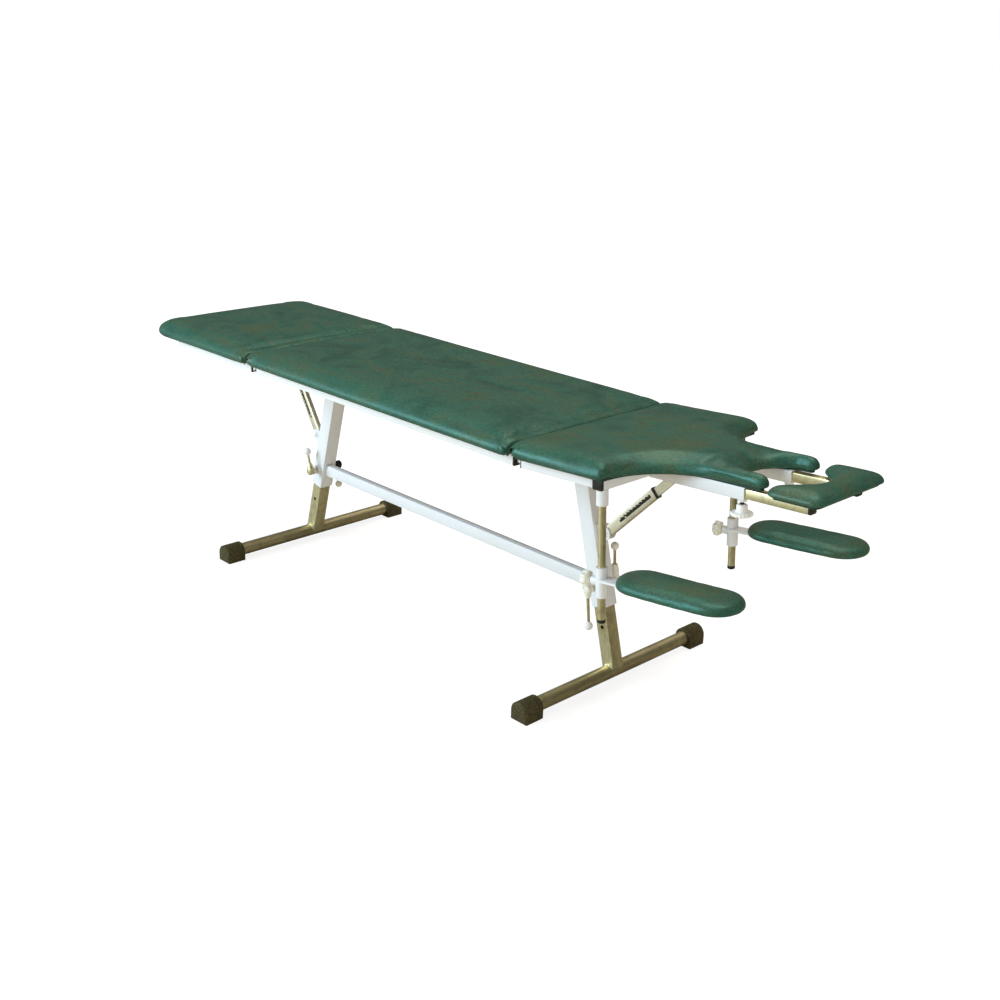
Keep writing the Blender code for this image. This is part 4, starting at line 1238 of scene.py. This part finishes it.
@dataclass
class LockKnob:
    """Flanged knob under a receiver that clamps one headrest bar."""

    side: str
    hub_radius: float = 0.0110
    disc_radius: float = 0.0220
    disc: float = 0.0070
    ribs: int = 20
    rib: float = 0.03
    screw: float = 0.006
    screw_radius: float = 0.004

    def build(self, frame: Frame) -> None:
        """Make the knob and let it stand for its plain solid.

        Args:
            frame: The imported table.
        """
        name = f"bar_lock_knob_{self.side}"
        up = frame.axis(f"bar_lock_turn_{self.side}")
        if up.z < 0:
            up = -up
        pivot = frame.pivot(f"bar_lock_turn_{self.side}")
        low, high = frame.reach(name, pivot, up)
        place = frame_at(pivot + up * low, up)
        r, flat, rise = self.disc_radius, self.disc, high - low
        hub_top = rise - self.screw
        disc = turned([(0, 0), (r * 0.4, 0), (r * 0.44, 0.0012), (r * 0.86, 0.0012), (r * 0.93, 0.0003),
                       (r - 0.0004, flat * 0.28), (r, flat * 0.5), (r - 0.0004, flat * 0.72), (r * 0.93, flat),
                       (self.hub_radius + 0.002, flat + 0.0004), (self.hub_radius, flat + 0.0026),
                       (self.hub_radius * 0.95, hub_top - 0.0015), (self.hub_radius * 0.85, hub_top),
                       (0, hub_top)], place, self.ribs * 6)
        inverse = place.inverted()
        for vert in disc.verts:
            local = inverse @ vert.co
            if math.hypot(local.x, local.y) > r * 0.9:
                turn = math.atan2(local.y, local.x)
                inward = place.to_3x3() @ Vector((local.x, local.y, 0))
                vert.co -= inward * (self.rib * (1 + math.cos(self.ribs * turn)))
        piece = frame.add(name + "_grip", disc, WHITE, name)
        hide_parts(name)
        t, foot = self.screw_radius, hub_top - 0.001
        screw = turned([(0, foot), (t, foot), (t, rise), (0, rise)], place, 24)
        frame.add(name + "_screw", screw, BLACK, name)


@dataclass
class Stay:
    """Hardware of one ratchet stay: pivot bolts, the bush in the channel's mouth, and black sheets behind its slots
    that paint the shade inside them.
    """

    leg: str
    section: str
    ear: float = 0.0110
    eye_radius: float = 0.0115
    channel: tuple[float, float] = (0.0240, 0.0130)
    wall: float = 0.0020
    bush: float = 0.0045
    # black sheets that paint the shade seen through the slots: thickness, width, room left at the ends, and shift
    # along the channel
    shade_sheet: float = 0.00018
    shade_sheet_width: float = 0.0165
    shade_sheet_ends: float = 0.018
    shade_sheet_shift: float = 0.004
    eye_half: float = 0.0083
    nut: tuple[float, float] = (0.0062, 0.0070)  # radius and height
    bolt: tuple[float, float] = (0.0058, 0.0046)  # radius and height

    @staticmethod
    def bolts(kind: Head, size: tuple[float, float], middle: Vector, reach: float) -> Shape:
        """Bolt heads on both ends of a pivot.

        Args:
            kind: Kind of head.
            size: Its radius and height.
            middle: Middle of the pivot.
            reach: How far from there each head sits.

        Returns:
            Both heads.
        """
        outward = [ACROSS * sign for _, sign in SIDES]
        return joined([fastener(kind, *size, frame_at(middle + out * reach, out)) for out in outward])

    def build(self, frame: Frame) -> None:
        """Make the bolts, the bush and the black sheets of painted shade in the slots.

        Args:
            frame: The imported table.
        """
        low = frame.pivot(f"{self.leg}_stay_turn")
        run = frame.axis(f"{self.leg}_stay_slide")
        body = f"{self.leg}_stay_channel"
        high = low + run * (frame.reach(f"{self.leg}_stay_slider", low, run)[1] - self.eye_radius)
        frame.add(f"{self.leg}_stay_pivot_nuts", self.bolts(Head.DOME, self.nut, low, self.ear), WHITE, body)
        frame.add(f"{self.leg}_stay_eye_bolts", self.bolts(Head.HEX, self.bolt, high, self.eye_half), PLATED_X,
                  self.section)
        mouth = frame.reach(body, low, run)[1]
        side = run.cross(ACROSS)
        frame.add(f"{self.leg}_stay_bush", self.mouth_bush(frame_at(low + run * mouth, run, side)), BLACK, body)
        # painted shade: thin black sheets just inside the channel's walls darken its slots
        shade_strips = []
        for _, sign in SIDES:
            bm = block(self.shade_sheet_width, self.shade_sheet, mouth - self.shade_sheet_ends)
            level = ACROSS * sign * (self.channel[1] / 2 - self.wall - self.shade_sheet / 2)
            shade_strips.append(closed(bm, frame_at(low + run * (mouth / 2 + self.shade_sheet_shift) + level, run, side)))
        frame.add(f"{self.leg}_stay_slot_shade_sheets", joined(shade_strips), BLACK, body)

    def mouth_bush(self, place: Matrix) -> Shape:
        """Thin black bush that caps the channel's walls at its mouth.

        Args:
            place: The mouth's middle, with Z along the slider.

        Returns:
            The bush.
        """
        lip = 0.0012
        bm = block(self.channel[0] + lip, self.channel[1] + lip, self.bush)
        bmesh.ops.translate(bm, verts=bm.verts, vec=(0, 0, 0.0008 - self.bush / 2))
        ends = [face for face in bm.faces if abs(face.normal.z) > 0.9]
        bmesh.ops.inset_individual(bm, faces=ends, thickness=self.wall + lip / 2 - 0.0001)
        bmesh.ops.bridge_loops(bm, edges=[edge for face in ends for edge in face.edges])
        bmesh.ops.delete(bm, geom=ends, context="FACES_ONLY")
        upright = [edge for edge in bm.edges if abs(edge.verts[0].co.z - edge.verts[1].co.z) > 0.001
                   and abs(edge.verts[0].co.x) > self.channel[0] / 2]
        rounded(bm, upright, lip, 3)
        return closed(bm, place)


@dataclass
class Welds:
    """Weld beads of the frame and of both legs."""

    bead: float = 0.0022
    post_half: float = 0.020
    foot_half: float = 0.0165
    foot_radius: float = 0.0163
    foot_arc: tuple[float, float, int] = (12.0, 156.0, 16)  # start and sweep in degrees, steps

    def build(self, frame: Frame) -> None:
        """Make the beads.

        Args:
            frame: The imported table.
        """
        beads = []
        for end in ENDS:
            low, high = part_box(f"main_crossbar_{end}")
            half = self.post_half
            beads.append(weld([Vector((x, y, low.z)) for x, y in (
                (low.x, -half), (high.x, -half), (high.x, half), (low.x, half))], self.bead))
        low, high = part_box("stretcher")
        slope = math.tan(LEG_LEAN) * (high.z - low.z)
        for x, sign in ((low.x, 1), (high.x, -1)):
            beads.append(weld([
                Vector((x, low.y, low.z)), Vector((x, high.y, low.z)),
                Vector((x + sign * slope, high.y, high.z)), Vector((x + sign * slope, low.y, high.z))], self.bead))
        for _, sign in SIDES:
            for end in ENDS:
                low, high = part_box(f"main_crossbar_{end}")
                y = sign * max(abs(low.y), abs(high.y))
                beads.append(weld([Vector((low.x, y, low.z)), Vector((high.x, y, low.z))], self.bead, False))
        frame.add("frame_welds", joined(beads), POWDER, "main_frame", 80)
        for leg, outward in zip(ENDS, (-1, 1)):
            low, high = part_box(f"{leg}_foot_tube")
            middle = (low + high) / 2
            place = Matrix.Translation(middle) @ Matrix.Rotation(-outward * LEG_LEAN, 4, "Y")
            start, sweep, steps = self.foot_arc
            turns = [math.radians(start + sweep * step / steps) for step in range(steps + 1)]
            radius = self.foot_radius
            path = [Vector((sign * radius * math.cos(a), sign * self.foot_half, radius * math.sin(a)))
                    for sign in (-1, 1) for a in turns]
            bead = weld([place @ point for point in path], self.bead * 1.15)
            frame.add(f"{leg}_leg_weld", bead, PLATED_Y, f"{leg}_leg", 80)


@dataclass
class Trim:
    """Small fittings: hinge caps, rod tips, rail plugs, and the screws that hold the boards."""

    cap_radius: float = 0.0085
    cap_seat: float = 0.0012
    screw: tuple[float, float] = (0.0046, 0.0030)  # radius and height
    screw_seat: float = 0.01255
    plug: float = 0.0024
    inset: float = 0.0016

    def build(self, frame: Frame) -> None:
        """Make the fittings.

        Args:
            frame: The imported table.
        """
        for hinge in ("foot", "chest"):
            low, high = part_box(f"{hinge}_hinge_rod")
            middle = (low + high) / 2
            caps = []
            for _, sign in SIDES:
                out = ACROSS * sign
                seat = Vector((middle.x, sign * high.y, middle.z)) - out * self.cap_seat
                r = self.cap_radius
                caps.append(turned([(0, 0), (r, 0), (r, 0.0035), (r * 0.8, 0.0062), (r * 0.4, 0.0072), (0, 0.0074)],
                                   frame_at(seat, out), 28))
            frame.add(f"{hinge}_hinge_caps", joined(caps), BLACK, "main_frame")
        for side, _ in SIDES:
            self.rod_tip(frame, side)
        tilt = frame.axis("armrest_swivel_near")
        self.board_screws(frame, "main", "main_frame", UP, (-0.42, -0.21, 0.0, 0.21, 0.42))
        self.board_screws(frame, "foot", "foot_section", UP, (-0.13, 0.0, 0.13))
        self.board_screws(frame, "chest", "chest_section", tilt, (-0.07, 0.0, 0.07))
        self.rail_plugs(frame, "main", "main_frame", UP, (-1, 1))
        self.rail_plugs(frame, "foot", "foot_section", UP, (-1, 1))
        self.rail_plugs(frame, "chest", "chest_section", tilt, (-1,))

    def rail_plugs(self, frame: Frame, section: str, body: str, up: Vector, ends: tuple[int, ...]) -> None:
        """Black plugs in the ends of a section's rails.

        Args:
            frame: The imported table.
            section: Name of the section.
            body: Body that it moves with.
            up: Direction square to the section.
            ends: Which ends, -1 for the foot's and 1 for the head's.
        """
        ahead = ACROSS.cross(up)
        plugs = []
        for side, _ in SIDES:
            tips, wide, tall = (frame.reach(f"{section}_rail_{side}", Vector(), axis) for axis in (ahead, ACROSS, up))
            for end in ends:
                tip = tips[1] if end > 0 else tips[0]
                bm = block(wide[1] - wide[0] - self.inset, tall[1] - tall[0] - self.inset, self.plug)
                rounded(bm, bm.edges[:], self.inset / 2, 2)
                middle = ahead * (tip + end * self.plug / 2) + ACROSS * sum(wide) / 2 + up * sum(tall) / 2
                plugs.append(closed(bm, frame_at(middle, ahead * end, ACROSS)))
        frame.add(f"{section}_rail_plugs", joined(plugs), BLACK, body)

    def rod_tip(self, frame: Frame, side: str) -> None:
        """Black tip and ring at the lower end of an armrest's rod.

        Args:
            frame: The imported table.
            side: near or far.
        """
        up = frame.axis(f"armrest_swivel_{side}")
        pivot = frame.pivot(f"armrest_swivel_{side}")
        place = frame_at(pivot + up * frame.reach(f"armrest_rod_{side}", pivot, up)[0], up)
        tip = turned([(0, -0.0022), (0.0060, -0.0022), (0.0082, -0.0008), (0.0084, 0.0004), (0.0084, 0.0052),
                      (0.0081, 0.0058), (0, 0.0058)], place, 32)
        frame.add(f"armrest_rod_tip_{side}", tip, BLACK, f"armrest_rod_{side}")

    def board_screws(self, frame: Frame, section: str, body: str, up: Vector, places: tuple[float, ...]) -> None:
        """Screws through both rails of a section, up into its board.

        Args:
            frame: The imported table.
            section: Name of the section.
            body: Body that it moves with.
            up: Direction of the screws.
            places: Where they are along the rail, from its middle.
        """
        heads = []
        for side, _ in SIDES:
            low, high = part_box(f"{section}_rail_{side}")
            middle = (low + high) / 2
            ahead = ACROSS.cross(up)
            for place in places:
                seat = middle + ahead * place - up * self.screw_seat
                heads.append(fastener(Head.DOME, *self.screw, frame_at(seat, -up)))
        frame.add(f"{section}_board_screws", joined(heads), PLATED_X, body)


@dataclass
class Studio:
    """Pale floor, soft light and the camera at the photograph's angle."""

    place: Vector = Vector((2.14102, -1.98142, 1.35615))
    yaw: float = math.radians(45.7733)
    pitch: float = math.radians(20.1584)
    roll: float = math.radians(1.6658)
    lens: float = 46.987
    aim: Vector = Vector((0.1, 0.0, 0.35))
    # the floor as it lights the table, as reflections show it, and where the camera sees its shadow
    ground: tuple[Colour, ...] = ((0.80, 0.73, 0.58), (0.36, 0.33, 0.26), (0.34, 0.34, 0.34))

    def build(self) -> None:
        """Make the floor, the lights and the camera."""
        self.floor()
        self.sky()
        self.lamp("window", Vector((-2.4, -4.1, 2.1)), 3.0, 280.0, (0.72, 0.88, 1.0))
        self.lamp("overhead", Vector((0.1, 0.5, 4.0)), 3.4, 110.0, (1.0, 0.93, 0.82))
        self.lamp("fill", Vector((3.2, -1.0, 0.9)), 1.6, 20.0, (1.0, 0.98, 0.94), False)
        self.camera()
        bpy.context.scene.view_settings.view_transform = "Standard"

    def floor(self) -> None:
        """Wide pale floor that takes a light shadow, and that reflections show dimmer."""
        bm = bmesh.new()
        bmesh.ops.create_grid(bm, x_segments=2, y_segments=2, size=30.0)
        floor = placed("floor", bm)
        material = bpy.data.materials.new("pale_floor")
        material.use_nodes = True
        nodes = Nodes(material.node_tree)
        nodes.tree.nodes.clear()
        matt, dim, shade = (nodes.node("ShaderNodeBsdfDiffuse", {"Color": colour}).outputs[0]
                            for colour in self.ground)
        place = nodes.node("ShaderNodeTexCoord", {}).outputs["Object"]
        far = nodes.node("ShaderNodeVectorMath", {0: place}, operation="LENGTH").outputs["Value"]
        inputs = {"Value": far, "From Min": 1.3, "From Max": 3.2, "To Min": 0.82, "To Max": 1.0}
        fade = nodes.node("ShaderNodeMapRange", inputs).outputs["Result"]
        glow = nodes.node("ShaderNodeEmission", {"Strength": fade}).outputs[0]
        both = nodes.node("ShaderNodeAddShader", {0: shade, 1: glow}).outputs[0]
        rays = nodes.node("ShaderNodeLightPath", {})
        glossy = rays.outputs["Is Glossy Ray"]
        unseen = nodes.node("ShaderNodeMixShader", {0: glossy, 1: matt, 2: dim}).outputs[0]
        mix = nodes.node("ShaderNodeMixShader", {0: self.seen(nodes, rays), 1: unseen, 2: both}).outputs[0]
        nodes.node("ShaderNodeOutputMaterial", {"Surface": mix})
        floor.data.materials.append(material)

    @staticmethod
    def seen(nodes: Nodes, rays: bpy.types.Node) -> Socket:
        """Mask that is 1 for camera and transmission rays.

        Args:
            nodes: Nodes to add to.
            rays: Light path node.

        Returns:
            The mask's socket.
        """
        inputs = {0: rays.outputs["Is Camera Ray"], 1: rays.outputs["Is Transmission Ray"]}
        return nodes.node("ShaderNodeMath", inputs, operation="MAXIMUM").outputs[0]

    def sky(self) -> None:
        """World that shows white, lights the table softly, and is dim in reflections."""
        world = bpy.data.worlds.new("studio")
        world.use_nodes = True
        bpy.context.scene.world = world
        nodes = Nodes(world.node_tree)
        nodes.tree.nodes.clear()
        rays = nodes.node("ShaderNodeLightPath", {})
        inputs = {"Value": rays.outputs["Is Glossy Ray"], "To Min": 0.30, "To Max": 0.12}
        level = nodes.node("ShaderNodeMapRange", inputs).outputs["Result"]
        soft = nodes.node("ShaderNodeBackground", {"Color": (1.0, 0.97, 0.90), "Strength": level}).outputs[0]
        white = nodes.node("ShaderNodeBackground", {"Color": (1.0, 1.0, 1.0), "Strength": 1.0}).outputs[0]
        mix = nodes.node("ShaderNodeMixShader", {0: self.seen(nodes, rays), 1: soft, 2: white}).outputs[0]
        nodes.node("ShaderNodeOutputWorld", {"Surface": mix})

    def lamp(self, name: str, place: Vector, size: float, watts: float, colour: Colour, mirrored: bool = True) -> None:
        """Square soft light that faces the table.

        Args:
            name: Its name.
            place: Where it stands.
            size: Its side.
            watts: Its power.
            colour: Its tint.
            mirrored: Whether glossy surfaces show it.
        """
        light = bpy.data.lights.new(name, "AREA")
        light.size = size
        light.energy = watts
        light.color = colour
        lamp = bpy.data.objects.new(name, light)
        bpy.context.scene.collection.objects.link(lamp)
        lamp.location = place
        lamp.visible_glossy = mirrored
        lamp.rotation_euler = (self.aim - place).to_track_quat("-Z", "Y").to_euler()

    def camera(self) -> None:
        """Camera at the photograph's viewpoint."""
        ahead = Vector((-math.sin(self.yaw) * math.cos(self.pitch), math.cos(self.yaw) * math.cos(self.pitch),
                        -math.sin(self.pitch)))
        right = Vector((math.cos(self.yaw), math.sin(self.yaw), 0.0))
        above = right.cross(ahead)
        c, s = math.cos(self.roll), math.sin(self.roll)
        axes = (c * right + s * above, c * above - s * right, -ahead)
        data = bpy.data.cameras.new("camera")
        data.lens = self.lens
        data.sensor_width = 36.0
        data.clip_end = 100.0
        camera = bpy.data.objects.new("camera", data)
        bpy.context.scene.collection.objects.link(camera)
        camera.matrix_world = Matrix.Translation(self.place) @ Matrix(axes).transposed().to_4x4()
        bpy.context.scene.camera = camera


# a star in a name stands for both sides, a plus for both ends
KEPT: dict[Finish, tuple[str, ...]] = {
    POWDER: ("main_rail_*", "main_crossbar_+", "+_post_sleeve", "stretcher", "foot_rail_*", "foot_crossbar",
             "chest_rail_*", "chest_crossbar", "armrest_socket_*", "bar_receiver_*", "armrest_sleeve_*"),
    PLATED_X: ("head_bar_*",),
    PLATED_STAY_LIT: ("+_stay_channel", "+_stay_slider"),
    PLATED_Y: ("foot_hinge_rod", "chest_hinge_rod", "+_foot_tube"),
    PLATED_Z: ("armrest_rod_*",),
    PLATED_FOOT: ("foot_inner_post",),
    PLATED_HEAD: ("head_inner_post",),
    RUBBER: ("+_boot_*",),
    BLACK: ("chest_rail_plug_*", "head_bar_plug_*"),
    PLYWOOD: ("main_board", "foot_board", "chest_board", "head_board"),
}


def main() -> None:
    """Build and dress the table, then the studio."""
    logging.basicConfig(level=logging.INFO, format="%(name)s: %(message)s")
    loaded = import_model()
    frame = Frame(loaded["nodes"], {joint["name"]: joint for joint in loaded["joints"]})
    tilted = frame.axis("armrest_swivel_near")
    for finish, names in KEPT.items():
        for node in dict.fromkeys(name.replace("+", end).replace("*", side)
                                  for name in names for end in ENDS for side, _ in SIDES):
            frame.dress(node, finish)
    main_pad = Cushion("main_cushion", "main_frame", UP, "main_board", 0.0062,
                       seams=("foot_section_tilt", "chest_section_tilt")).build(frame)
    foot_pad = Cushion("foot_cushion", "foot_section", UP, "foot_board", 0.0060,
                       seams=("foot_section_tilt",)).build(frame)
    chest_pad = Cushion("chest_cushion", "chest_section", tilted, "chest_board", 0.0055, calm=5,
                        seams=("chest_section_tilt",)).build(frame)
    Cushion("head_cushion", "headrest", tilted, "head_board", 0.0040, rim=3, cap=0.002, pressure=2.0,
            slope=0.032, drop=0.010, calm=4).build(frame)
    for side, _ in SIDES:
        Cushion(f"armrest_cushion_{side}", f"armrest_{side}", tilted, None, 0.0040, rounding=4, rim=3,
                cap=0.0015, pressure=1.5, slope=0.014, drop=0.003, calm=6).build(frame)
    Gusset("foot_seam_gusset", "foot_section_tilt", "foot_section", -1.0).build(frame, foot_pad, main_pad)
    Gusset("chest_seam_gusset", "chest_section_tilt", "chest_section", 1.0).build(frame, main_pad, chest_pad)
    Lever("foot", "near", PLATED_X, WHITE).build(frame)
    Lever("foot", "far", BLACK, CREAM).build(frame)
    Lever("head", "near", CREAM, WHITE).build(frame)
    Lever("head", "far", CREAM, CREAM, socket=0.0092, neck=0.0330).build(frame)
    for side, _ in SIDES:
        StarKnob(side).build(frame)
        LockKnob(side).build(frame)
    Stay("foot", "foot_section").build(frame)
    Stay("head", "chest_section").build(frame)
    Welds().build(frame)
    Trim().build(frame)
    Studio().build()


if __name__ == "__main__":
    main()
